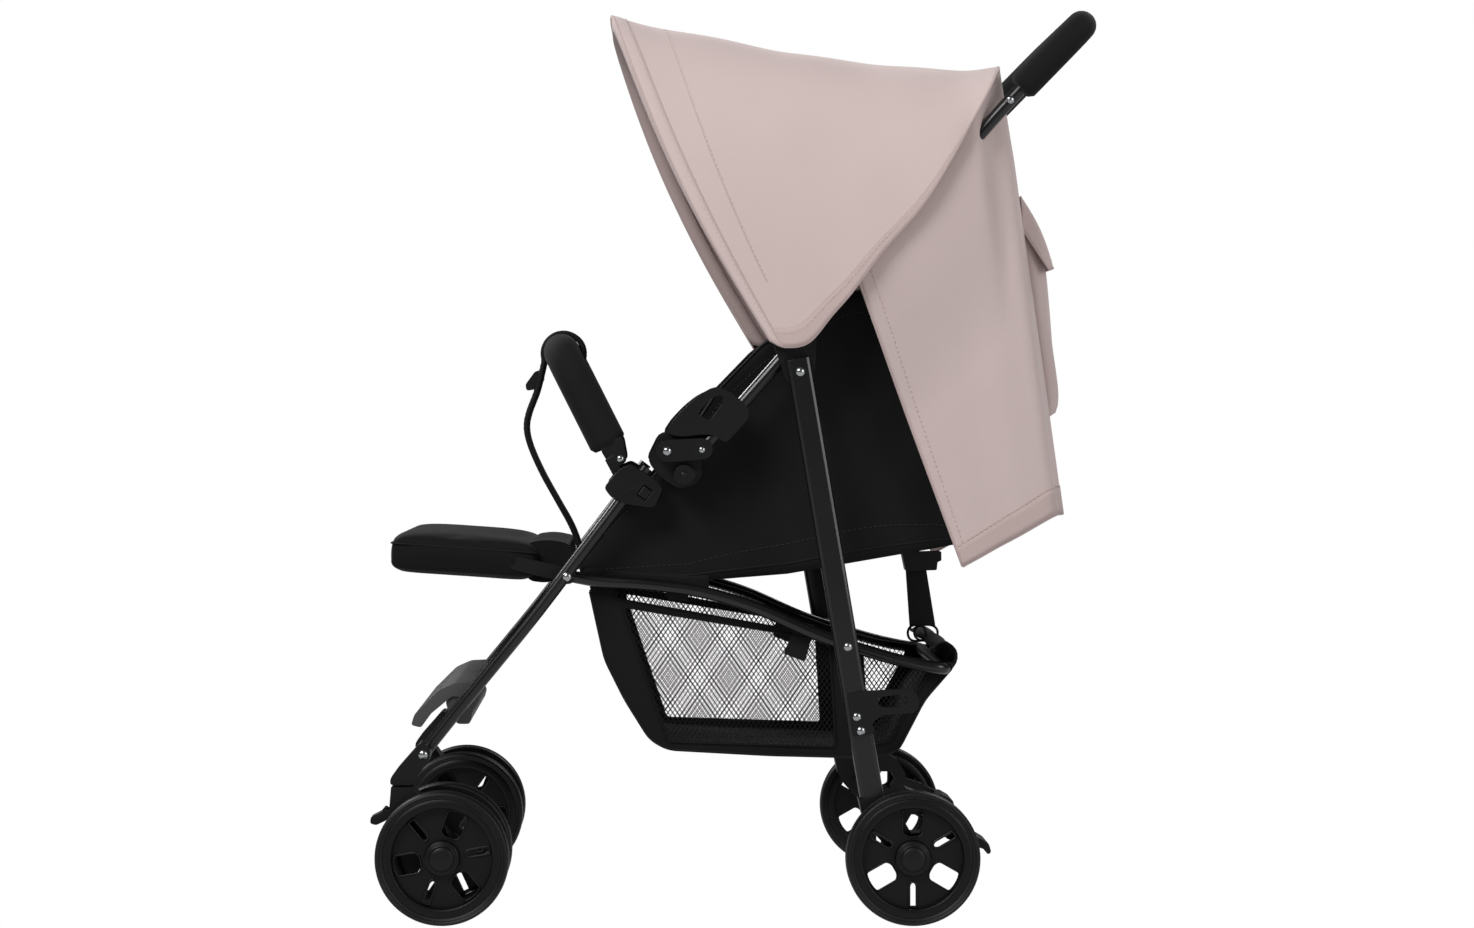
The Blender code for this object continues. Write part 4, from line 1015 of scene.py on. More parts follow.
@dataclass
class Chassis:
    """The steel tubes, their moulded joints and the rivets."""

    leg_y: float = 0.1785
    tube_r: float = 0.0075
    handle_y: float = 0.1975
    seat_y: float = 0.16
    leg_path: tuple = ((-0.1016, 0.51), (-0.1465, 0.45), (-0.2328, 0.3365), (-0.3072, 0.2457),
                       (-0.356, 0.1842))
    handle_low: tuple = (-0.0389, 0.531)
    handle_top: tuple = (0.3123, 0.929)
    grip: tuple = (0.396, 1.015)
    grip_long: float = 0.108
    seat_pivot: tuple = (-0.1916, 0.386)
    seat_path: tuple = ((-0.1916, 0.386), (-0.156, 0.379), (-0.109, 0.377), (-0.0405, 0.369),
                        (0.0235, 0.3502), (0.0874, 0.3205), (0.1242, 0.3075), (0.1845, 0.2897),
                        (0.2164, 0.2828), (0.24, 0.2795))

    def build(self) -> None:
        """Make the tubes, the sleeves, the moulded parts and the rivets."""
        self.legs()
        self.handle()
        self.seat_frame()
        self.bumper()
        self.mouldings()
        self.slit_shades()
        self.rivets()

    def legs(self) -> None:
        """The front legs, each with the pin of the seat."""
        for side, sign in SIDES.items():
            path = curved([(x, sign * self.leg_y, z) for x, z in self.leg_path], 0.008, 0.03)
            stand_in(tube_piece(f"front_leg_{side}_tube", path, self.tube_r, POWDER_COAT, 28),
                     f"front_leg_{side}", "front_frame")
            x, z = self.seat_pivot
            pin = tube_piece(f"seat_pin_{side}", [(x, sign * 0.139, z), (x, sign * 0.16, z),
                                                  (x, sign * 0.1875, z)], 0.0032, ZINC, 20)
            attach(pin, "front_frame")

    def handle_route(self, start: Sequence) -> list[tuple[float, float, float]]:
        """The handle's corners from a start point on one side to the same on the other."""
        corners = [start, self.handle_top, self.grip] if start is self.handle_low else [start, self.grip]
        return mirrored([(x, -self.handle_y, z) for x, z in corners])

    def handle(self) -> None:
        """The handle's tube and its sponge grip with rounded ends."""
        tube = tube_piece("handle_bar", curved(self.handle_route(self.handle_low), 0.008, 0.055),
                          self.tube_r, POWDER_COAT, 28)
        stand_in(tube, "handle_tube", "handle")
        grip, top = np.array(self.grip), np.array(self.handle_top)
        start = grip + unit(top - grip) * self.grip_long
        path = curved(self.handle_route(tuple(start)), 0.005, 0.055)
        sleeve = tube_piece("handle_sleeve", path, self.sleeve_radius(path, 0.017), SPONGE, 36)
        stand_in(sleeve, "handle_grip", "handle")

    @staticmethod
    def sleeve_radius(path: Points, radius: float, turn: float = 0.006) -> Points:
        """A sleeve's radius along its path, rounded at its ends.

        At a distance d from an end it is r - 0.7 t (1 - sqrt(1 - (1 - d / t)^2)), while d is under t.

        Args:
            path: The sleeve's centre line.
            radius: Its radius r.
            turn: The length t of its rounded ends.

        Returns:
            The radius at each point.
        """
        run = run_of(path)
        away = np.minimum(np.minimum(run, run[-1] - run) / turn, 1.0)
        return radius - turn * 0.7 * (1 - np.sqrt(1 - (1 - away) ** 2))

    def seat_frame(self) -> None:
        """The bent tube under the seat and its two front eyes."""
        route = mirrored([(x, -self.seat_y, z) for x, z in self.seat_path])
        stand_in(tube_piece("seat_bar", curved(route, 0.006, 0.028), 0.007, POWDER_COAT, 28), "seat_tube",
                 "seat_frame")
        for side, sign in SIDES.items():
            x, z = self.seat_pivot
            ring = [(0.004, -0.0066), (0.004, 0.0066), (0.009, 0.0066), (0.0095, 0.0058),
                    (0.0095, -0.0058), (0.009, -0.0066), (0.004, -0.0066)]
            eye = turned_piece(f"seat_eye_{side}", ring, (x, sign * self.seat_y, z), POWDER_COAT, 40)
            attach(eye, "seat_frame")

    def bumper(self) -> None:
        """The sponge sleeve of the bumper bar, over its moulded core."""
        low, high = np.array([-0.148, -0.162, 0.54]), np.array([-0.2, -0.154, 0.643])
        path = curved(mirrored([low - (high - low) * 0.06, high]), 0.005, 0.045)
        sleeve = tube_piece("bumper_sleeve", path, self.sleeve_radius(path, 0.0205, 0.005), SPONGE, 36)
        stand_in(sleeve, "bumper_foam", "bumper")
        moulded_from("bumper_tube", NYLON, 0.0012)

    def mouldings(self) -> None:
        """The moulded and cut parts, with the edges that a mould or a die leaves."""
        for node, finish, bevel in (("footrest", GREY_STEP, 0.001), ("rear_axle", ZINC, 0.0005),
                                    ("rear_cross_tube", POWDER_COAT, 0.0), ("fold_catch", NYLON, 0.0005),
                                    ("hood_bow", NYLON, 0.0)):
            moulded_from(node, finish, bevel)
        paired = (("hinge_lower", NYLON, 0.0014), ("bumper_socket", NYLON, 0.001),
                  ("front_foot", NYLON, 0.0014), ("bumper_button", NYLON, 0.0004),
                  ("caster_fork", NYLON, 0.0012), ("front_axle", ZINC, 0.0004), ("swivel_lock", NYLON, 0.001),
                  ("hinge_upper", NYLON, 0.0014), ("rear_leg_bracket", NYLON, 0.0012),
                  ("fold_release", NYLON, 0.0016), ("rear_leg", POWDER_COAT, 0.0006),
                  ("rear_housing", NYLON, 0.0012), ("brake", NYLON, 0.001))
        for stem, finish, bevel in paired:
            for side in SIDES:
                moulded_from(f"{stem}_{side}", finish, bevel)

    def slit_shades(self) -> None:
        """Painted shade: a thin black plate inside each upper hinge, which closes the slit beside the release
        so that it shows dark instead of the white behind it.
        """
        outline = soft_corners([(-0.07, 0.561), (-0.03, 0.564), (-0.018, 0.54), (-0.064, 0.533)],
                               0.004)
        for side, sign in SIDES.items():
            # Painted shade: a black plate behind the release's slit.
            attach(plate_piece(f"hinge_gusset_{side}", outline, (sign * 0.1876, sign * 0.189), NYLON, (),
                                0.0004), "handle")

    def rivets(self) -> None:
        """The rivet heads that show on the frame's sides."""
        for rivet in (
                Rivet("fold", "front_frame", (-0.0785, 0.5286), 0.2082, 0.005),
                Rivet("lock", "front_frame", (-0.0595, 0.5016), 0.2052, 0.004, NYLON),
                Rivet("sleeve", "handle", (-0.0392, 0.53), 0.2064, 0.0038),
                Rivet("bumper", "bumper", (-0.1312, 0.5194), 0.1782, 0.0046),
                Rivet("seat", "front_frame", (-0.1916, 0.386), 0.1876, 0.005),
                Rivet("foot", "front_frame", (-0.353, 0.187), 0.2132, 0.0056),
                Rivet("rear_leg", "handle", (0.0708, 0.6176), 0.222, 0.0052),
                Rivet("crossing", "rear_frame", (0.1242, 0.309), 0.2217, 0.005),
                Rivet("catch_top", "rear_frame", (0.1341, 0.2309), 0.2252, 0.005, only="left"),
                Rivet("catch_low", "rear_frame", (0.1386, 0.2152), 0.2252, 0.005, only="left"),
                Rivet("leg_top", "rear_frame", (0.1341, 0.2309), 0.2217, 0.005, only="right"),
                Rivet("leg_low", "rear_frame", (0.14, 0.2152), 0.2217, 0.005, only="right"),
                Rivet("grip", "handle", (0.3085, 0.9247), 0.205, 0.0046)):
            rivet.build()


# Hood and its back

def through(knots: Sequence, at: Points) -> Points:
    """Read a smooth curve through even knots at places 0 to 1.

    Between two knots b and c with neighbours a and d it is the Catmull-Rom cubic
    b + t (c - a) / 2 + t^2 (a - 5 b / 2 + 2 c - d / 2) + t^3 (-a + 3 b - 3 c + d) / 2.

    Args:
        knots: Points that the curve runs through.
        at: Where it is read, of any shape.

    Returns:
        The points, in the shape of at.
    """
    knots = np.asarray(knots, float)
    padded = np.concatenate([2 * knots[:1] - knots[1:2], knots, 2 * knots[-1:] - knots[-2:-1]])
    place = np.clip(np.asarray(at, float), 0, 1) * (len(knots) - 1)
    i = np.minimum(place.astype(int), len(knots) - 2)
    t = (place - i)[..., None]
    a, b, c, d = padded[i], padded[i + 1], padded[i + 2], padded[i + 3]
    bend, twist = a - 2.5 * b + 2 * c - 0.5 * d, 3 * b - 3 * c + d - a
    return b + t * (c - a) / 2 + t ** 2 * bend + t ** 3 * twist / 2


@dataclass
class Hood:
    """The hood: one curved sheet over a front bow, with a doubled brim, hems, seams and stitches."""

    base: tuple = ((0.038, 0.652), (0.0546, 0.6454), (0.0804, 0.651), (0.1061, 0.6812), (0.1285, 0.707),
                   (0.1621, 0.7518), (0.207, 0.8034), (0.24, 0.856), (0.2619, 0.8964))
    top: tuple = ((-0.1425, 1.04), (-0.097, 1.03), (-0.0373, 1.0204), (0.03, 1.009),
                  (0.0822, 1.0013), (0.145, 0.9915), (0.2017, 0.983), (0.265, 0.9745), (0.308, 0.976))
    half_width: float = 0.2245
    squareness: float = 3.4
    pivot: tuple = (0.067, 0.656)
    bow_reach: float = 0.34
    middle: tuple = (0.08, 0.0, 0.8)

    def surface(self, u: Points, t: Points) -> Points:
        """The hood's surface, u from front to rear and t from one base edge over the top to the other.

        With a = (pi / 2) sign(t) (1 - (1 - |t|)^1.7), h = |cos a|^(2/q) and w = sign(a) |sin a|^(2/q):
        the point is base(u) + (top(u) - base(u)) h in X and Z, and w W (1 - 0.15 h) in Y. The cloth
        sags 6 mm between its hoops and has low wrinkles.

        Args:
            u: Places from front to rear, 0 to 1.
            t: Places over the arch, -1 to 1.

        Returns:
            The points, in the shape of u and t.
        """
        a, h = self.arch_angle(t), self.arch_height(t)
        w = np.sign(a) * np.abs(np.sin(a)) ** (2 / self.squareness)
        low, high = through(self.base, u), through(self.top, u)
        bow = 0.014 * np.sin(math.pi * h) * (1 - u)
        place = low + (high - low) * h[..., None]
        y = w * self.half_width * (1 - 0.15 * h)
        sag = 0.006 * np.sin(math.pi * u) * (1 - (y / self.half_width) ** 4)
        fold = np.sin(math.pi * np.clip(u, 0, 1)) * (0.0016 * np.sin(9 * u + 5 * t) * np.sin(4 * t + 2)
                                                     + 0.001 * np.sin(23 * u - 7 * t + 1))
        return np.stack([place[..., 0] - bow, y + fold * np.sign(t) * np.abs(t) ** 2,
                         place[..., 1] - 0.4 * bow - sag + fold * (1 - np.abs(t) ** 2)], -1)

    def patch(self, u_range: tuple[float, float], t_range: tuple[float, float], rows: int, columns: int,
              lift: float = 0.0) -> Points:
        """A grid of the surface between two u and two t.

        Args:
            u_range: The first and last u.
            t_range: The first and last t.
            rows: How many u there are.
            columns: How many t there are.
            lift: How far the grid stands outside the surface.

        Returns:
            The grid.
        """
        u, t = np.meshgrid(np.linspace(*u_range, rows), np.linspace(*t_range, columns), indexing="ij")
        grid = self.surface(u, t)
        return grid + outwards(grid, self.middle) * lift

    def line(self, u: Points, t: Points, lift: float = 0.0011) -> Points:
        """Points on the surface, moved away from the hood's middle by lift."""
        points = self.surface(u, t)
        return points + unit(points - np.array(self.middle)) * lift

    @staticmethod
    def arch_angle(t: Points) -> Points:
        """The angle of a place t on its arch, which is 0 at the top: (pi / 2) sign(t) (1 - (1 - |t|)^1.7)."""
        return math.pi / 2 * np.sign(t) * (1 - (1 - np.abs(t)) ** 1.7)

    def arch_height(self, t: Points) -> Points:
        """How high a place t lies on its arch, from 0 at the base to 1 at the top."""
        return np.abs(np.cos(self.arch_angle(t))) ** (2 / self.squareness)

    def brim_end(self, t: Points) -> Points:
        """The u where the brim ends, which keeps it about 16 mm wide: 0.095 - 0.050 h."""
        return 0.095 - 0.05 * self.arch_height(t)

    def brim(self) -> Points:
        """The brim's grid, standing a little off the hood and rounded at the seam."""
        t = np.linspace(-1, 1, 121)[None, :]
        share = np.linspace(0, 1, 10)[:, None]
        lift = (0.0008 + 0.0016 * np.sin(math.pi * share) ** 0.6)[..., None]
        return self.line(share * self.brim_end(t), np.broadcast_to(t, (10, 121)), lift)

    def channel(self) -> Points:
        """The inner cloth that wraps the bow, from the rim inwards past the bow and back to the seam."""
        t = np.linspace(-0.985, 0.985, 121)
        rim, seam = self.surface(np.zeros(121), t), self.surface(self.brim_end(t) * 1.1, t)
        middle = np.array([0.0, 0.0, 0.652])
        inner = middle + (rim - middle) * np.array([1.0, 0.905, 0.958])
        inner[:, 0] = rim[:, 0] + 0.001
        back = inner + np.array([0.0185, 0.0, -0.0035])
        return np.stack([rim, rim * 0.45 + inner * 0.55, inner, inner * 0.5 + back * 0.5, back,
                         back * 0.45 + seam * 0.55, seam])

    def build(self) -> None:
        """Make the hood's cloth, brim, hems, edge cords and stitches."""
        hung = ["hood_bow_skin", "handle_bar"]
        made = [self.sewn("hood_cloth", self.patch((0, 1), (-1, 1), 72, 121), PINK, 0.0014, hung),
                self.sewn("hood_brim", self.brim(), PINK, 0.0014, ["hood_cloth"]),
                self.sewn("hood_channel", self.channel(), PINK_HEM, 0.001, ["hood_bow_skin"])]
        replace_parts(made[0], "hood")
        for side, sign in SIDES.items():
            hem = self.patch((0.09, 1.0), (sign * 0.955, sign * 1.0), 60, 5, 0.001)
            made.append(self.sewn(f"hood_hem_{side}", hem, PINK_HEM, 0.001, ["hood_cloth"]))
            edge = self.surface(np.linspace(0, 1, 90), np.full(90, sign * 1.0))
            made.append(tube_piece(f"hood_cord_{side}", edge, 0.0015, PINK_HEM, 10))
            sewn = self.line(np.linspace(0.1, 0.99, 120), np.full(120, sign * 0.965), 0.002)
            made.append(stitches(f"hood_hem_stitch_{side}", sewn, PINK_THREAD))
        t = np.linspace(-1, 1, 160)
        panel = 0.035 * (1 - self.arch_height(t))
        inner = np.abs(t) < 0.86
        brim_end = self.brim_end(t)
        for name, line, radius in (
                ("front_cord", self.surface(np.zeros(160), t), 0.002),
                ("rear_cord", self.surface(np.ones(160), t), 0.0014),
                ("panel_stitch", self.line((0.165 + panel)[inner], t[inner]), 0),
                ("panel_seam", self.line((0.16 + panel)[inner], t[inner], 0.0004), 0.0006),
                ("brim_stitch", self.line(brim_end * 0.86, t, 0.0028), 0),
                ("brim_cord", self.line(brim_end * 1.04, t, 0.0012), 0.0012),
                ("rear_stitch", self.line(np.full(160, 0.965), t, 0.0012), 0)):
            made.append(tube_piece(f"hood_{name}", line, radius, PINK_HEM, 10 if radius > 0.0012 else 8)
                        if radius else stitches(f"hood_{name}", line, PINK_THREAD))
        for piece in made:
            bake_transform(piece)

    @staticmethod
    def sewn(name: str, grid: Points, finish: Finish, thickness: float, rests_on: Sequence[str]) -> Obj:
        """A sheet of cloth with its thickness.

        Args:
            name: The piece's name.
            grid: Its grid.
            finish: Its finish.
            thickness: The cloth's thickness.
            rests_on: What it lies on; not used.

        Returns:
            The piece.
        """
        made = cloth_sheet(name, grid, finish, thickness)
        return made


@dataclass
class HoodBack:
    """The cloth that hangs from the handle behind the seat, with its hem and its flapped pocket."""

    tube_axis: tuple = (0.7498, 0.0, -0.6616)
    anchor: tuple = (0.15, 0.0, 0.745)
    keep: float = 0.32
    middle: tuple = (0.2, 0.0, 0.65)
    top_z: float = 0.9585
    drop: float = 0.503
    pocket_half: float = 0.099
    flap_half: float = 0.103

    def surface(self, s: Points, v: Points) -> Points:
        """The drape, s from -2 to 2 round it (the back lies in -1 to 1) and v from its top to its hem.

        A side runs straight from its top point to its low point for each |s| - 1. The back is
        x = 0.3000 + 0.0669 v + b (1 - s^4), where b grows from 0.007 to 0.012. Its top edge rises as
        0.015 (1 - |s|^3) to meet the hood, and low folds grow towards the hem. Each side comes out
        over the handle's tube, and behind the tube its top edge turns out to the hood's edge.

        Args:
            s: Places round the drape.
            v: Places down it, 0 to 1.

        Returns:
            The points, in the shape of s and v.
        """
        side = np.clip(2 - np.abs(s), 0, 1)  # 0 at the front edge, 1 at the rear corner
        high_x, high_z = 0.1313 + 0.1687 * side, 0.7355 + 0.223 * side
        low_x, low_z = 0.2576 + 0.106 * side, 0.397 + 0.058 * side
        fold = 0.0035 * np.sin(7.5 * side + 2.2) + 0.0016 * np.sin(17 * side + 4 * v)
        fold = fold * np.minimum(1, 1.3 * v) * (1 - side) ** 0.5 * np.sin(math.pi * side) ** 0.5
        over = np.clip((v - 0.03) / 0.52, 0, 1) + np.clip((side - 0.82) / 0.08, 0, 1)
        over = 1 - np.clip(over, 0, 1)
        side_y = 0.186 - 0.012 * side ** 3 - 0.01 * v + fold
        side_y = side_y + (0.209 - side_y) * over * over * (3 - 2 * over)
        hood_y = np.interp(side, [0.82, 0.9, 0.95, 1.0], [0.212, 0.1995, 0.187, 0.172])
        flare = np.clip(1 - v / 0.045, 0, 1) * np.clip((side - 0.79) / 0.04, 0, 1)
        side_y = side_y + (hood_y - side_y) * flare
        back = np.clip(s, -1, 1)
        back_x = 0.3 + 0.0669 * v + (0.007 + 0.005 * np.minimum(1, 5 * v)) * (1 - back ** 4)
        wave = 0.004 * np.cos(9 * back) + 0.0018 * np.cos(21 * back + 3 * v)
        back_x = back_x + wave * v * (1 - back ** 6)
        on_side = np.abs(s) > 1
        x = np.where(on_side, high_x + (low_x - high_x) * v, back_x)
        y = np.where(on_side, np.sign(s) * side_y, back * (0.17 - 0.01 * v))
        back_z = self.top_z - self.drop * v + 0.015 * (1 - np.abs(back) ** 3) * (1 - v) ** 4
        z = np.where(on_side, high_z + (low_z - high_z) * v, back_z)
        return np.stack([x, y, z], -1)

    def grid(self) -> Points:
        """The drape's grid, with its two corners eased by three passes of a 1-2-1 mean along each row."""
        v, s = np.meshgrid(np.linspace(0, 1, 64), np.linspace(-2, 2, 161), indexing="ij")
        made = self.surface(s, v)
        for _ in range(3):
            made[:, 1:-1] = (made[:, :-2] + 2 * made[:, 1:-1] + made[:, 2:]) / 4
        return made

    def build(self) -> None:
        """Make the drape, its hem, its edge cords and its pocket."""
        grid = self.grid()
        cloth = cloth_sheet("drape_cloth", grid, PINK, 0.0013)
        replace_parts(cloth, "rear_drape")
        away = outwards(grid, self.middle)
        hem_grid = grid[-5:] + away[-5:] * 0.0009
        hem = cloth_sheet("drape_hem", hem_grid, PINK_HEM, 0.0009)
        made = [cloth, hem]
        for name, line in (("low", grid[-1]), ("left", grid[:, 0]), ("right", grid[:, -1])):
            made.append(tube_piece(f"drape_{name}_cord", line, 0.0014, PINK_HEM, 10))
        for name, line in (("hem", (grid + away * 0.0016)[-5]), ("left", (grid + away * 0.001)[:, 3]),
                           ("right", (grid + away * 0.001)[:, -4])):
            made.append(stitches(f"drape_{name}_stitch", line, PINK_THREAD))
        for piece in made + self.pocket():
            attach(piece, "handle")
            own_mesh(piece)

    def flap(self) -> Points:
        """The pocket's flap: a straight slope with a side wall turned back to the drape at each end."""
        top, low = np.array([0.3325, 0.8235]), np.array([0.3705, 0.74])
        inner_top, inner_low = np.array([0.335, 0.7846]), np.array([0.366, 0.738])
        v = np.linspace(0, 1, 20)[:, None]
        outer = top + (low - top) * v + 0.0045 * np.sin(math.pi * v) * np.array([0.9, 0.42])
        inner = inner_top + (inner_low - inner_top) * v
        wall = np.linspace(0, 1, 7)[None, :-1, None]
        side = inner[:, None] + (outer - inner)[:, None] * wall
        face = np.broadcast_to(outer[:, None], (20, 33, 2))
        section = np.concatenate([side, face, side[:, ::-1]], axis=1)
        half = self.flap_half
        y = np.concatenate([np.full(6, -half), np.linspace(-half, half, 33), np.full(6, half)])
        return np.stack([section[..., 0], np.broadcast_to(y, section.shape[:2]), section[..., 1]], -1)

    def pocket(self) -> list[Obj]:
        """The pocket's stuffed body and the flap over its top.

        The body is two sheets: one on the drape's own surface x_b, and x_b + T ((1 - w^8)(1 - v^8))^0.5
        outside it, with w across and v up it from -1 to 1.
        """
        v, w = np.meshgrid(np.linspace(-1, 1, 30), np.linspace(-1, 1, 41), indexing="ij")
        z = 0.686 + 0.122 * v
        y = self.pocket_half * w
        fall = (self.top_z - z) / self.drop
        back = self.surface(y / (0.17 - 0.01 * fall), fall)[..., 0] + 0.0008
        outer = np.interp(z, [0.564, 0.745, 0.808], [0.3858, 0.3655, 0.34])
        body = (np.maximum((1 - w ** 8) * (1 - v ** 8), 0)) ** 0.5
        crease = 0.0012 * np.sin(9 * w + 4 * v) * body
        front = np.stack([back + (outer - back) * body + crease, y, z], -1)
        rear = np.stack([back - 0.0002, y, z], -1)
        pouch = pouch_piece("pocket_body", front, rear, PINK, 0.0003,
                            np.concatenate([lengths_uv(front), lengths_uv(rear)]))
        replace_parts(pouch, "pocket")
        flap_grid = self.flap()
        flap = cloth_sheet("pocket_flap", flap_grid, PINK, 0.0016)
        edge = np.concatenate([flap_grid[:, 0], flap_grid[-1], flap_grid[::-1, -1]])
        cord = tube_piece("pocket_flap_cord", distinct(edge), 0.0013, PINK_HEM, 8)
        seam = stitches("pocket_flap_stitch", flap_grid[-3] + np.array([0.0013, 0.0, 0.0]), PINK_THREAD)
        return [pouch, flap, cord, seam]


# Seat, legrest and straps

def capsule_outline(a: Sequence, b: Sequence, radius_a: float, radius_b: float) -> Points:
    """The outline round two circles, as a half turn about each end away from the other.

    Args:
        a: The first circle's centre.
        b: The second one's centre.
        radius_a: The first circle's radius.
        radius_b: The second one's radius.

    Returns:
        The outline's points.
    """
    a, b = np.asarray(a, float), np.asarray(b, float)
    lean = math.atan2(*(b - a)[::-1])
    turn = np.linspace(math.pi / 2, 3 * math.pi / 2, 20) + lean
    first = a + radius_a * np.stack([np.cos(turn), np.sin(turn)], -1)
    second = b - radius_b * np.stack([np.cos(turn), np.sin(turn)], -1)
    return np.concatenate([first, second])


@dataclass
class SeatCloth:
    """The seat's black sling and side panels, in one sheet, with their binding and stitches."""

    width: tuple = ((0.37, 0.147), (0.52, 0.149), (0.6, 0.153), (0.72, 0.174))
    top: tuple = ((-0.176, 0.404), (-0.147, 0.44), (-0.1, 0.492), (-0.06, 0.536), (-0.0192, 0.598),
                  (0.0293, 0.648), (0.06, 0.67), (0.095, 0.692), (0.125, 0.708), (0.15, 0.712),
                  (0.175, 0.703), (0.2, 0.678), (0.23, 0.635), (0.3, 0.48))
    hem: tuple = ((-0.176, 0.389), (-0.052, 0.379), (0.06, 0.388), (0.2274, 0.417), (0.3, 0.431))
    squash_z: float = 0.373

    def grid(self) -> Points:
        """The cloth from the left top edge down, across the sling and up to the right one.

        The sling is z = hem + 0.004 - 0.010 sin(pi t). Side folds fan out from the front hinge.

        Returns:
            The grid, a row for each station from front to rear.
        """
        stations, rises, flats = 90, 26, 29
        x = np.linspace(self.top[0][0], self.top[-1][0], stations)
        high = np.interp(x, *np.transpose(self.top))
        low = np.interp(x, *np.transpose(self.hem))
        up = np.linspace(1, 0, rises)[None, :]
        z = low[:, None] + (high - low)[:, None] * up
        across = np.interp(z, *np.transpose(self.width))
        fan = 0.0034 * np.sin(34 * (x[:, None] + 0.6 * z)) + 0.0012 * np.sin(61 * x[:, None] - 47 * z)
        across = across + fan * np.sin(math.pi * up) ** 0.7
        flat = np.linspace(0.02, 0.98, flats)[None, :]
        sling_y = np.broadcast_to(-0.144 + 0.288 * flat, (stations, flats))
        sling_z = low[:, None] + 0.004 - 0.01 * np.sin(math.pi * flat)
        wide = np.broadcast_to(x[:, None], z.shape)
        left = np.stack([wide, -across, z], -1)
        floor = np.stack([np.broadcast_to(x[:, None], sling_y.shape), sling_y, sling_z], -1)
        right = left[:, ::-1] * np.array([1.0, -1.0, 1.0])
        return np.concatenate([left, floor, right], axis=1)

    def build(self) -> None:
        """Make the cloth, its top binding, its seams and its stitches."""
        grid = self.grid()
        cloth = cloth_sheet("seat_cloth", grid, BLACK, 0.0016)
        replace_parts(cloth, "seat_fabric")
        made = [cloth]
        for side, edge, seam in (("left", 0, 24), ("right", -1, -25)):
            sign = SIDES[side]
            out = np.array([0.0, sign, 0.0])
            made.append(tube_piece(f"seat_binding_{side}", grid[:, edge], 0.0021, BINDING, 12, 0.7))
            made.append(tube_piece(f"seat_seam_{side}", grid[:, seam] + out * 0.0008, 0.0014, BINDING, 10))
            for label, row in (("top", 2), ("low", 22)):
                line = grid[:, row if side == "left" else -row - 1] + out * 0.0011
                made.append(stitches(f"seat_stitch_{label}_{side}", line, BLACK_THREAD))
            made.append(self.valance(side, sign))
        for name, row in (("front", 0), ("rear", -1)):
            made.append(tube_piece(f"seat_binding_{name}", grid[row], 0.0018, BINDING, 12, 0.7))
        for piece in made:
            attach(piece, "seat_frame")
            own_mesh(piece)

    def valance(self, side: str, sign: float) -> Obj:
        """The strip below the hem at the front, which hides the seat's tube.

        Args:
            side: The side's name.
            sign: Its sign in Y.

        Returns:
            The piece.
        """
        run, fall = np.meshgrid(np.linspace(-0.178, -0.03, 30), np.linspace(0, 1, 5), indexing="ij")
        upper = np.interp(run, *np.transpose(self.hem)) + 0.006
        lower = np.interp(run, [-0.178, -0.109, -0.03], [0.38, 0.3745, 0.369])
        grid = np.stack([run, sign * (0.15 + 0.0006 * np.sin(run * 90)), upper + (lower - upper) * fall], -1)
        made = cloth_sheet(f"seat_valance_{side}", grid, BLACK, 0.0012)
        return made


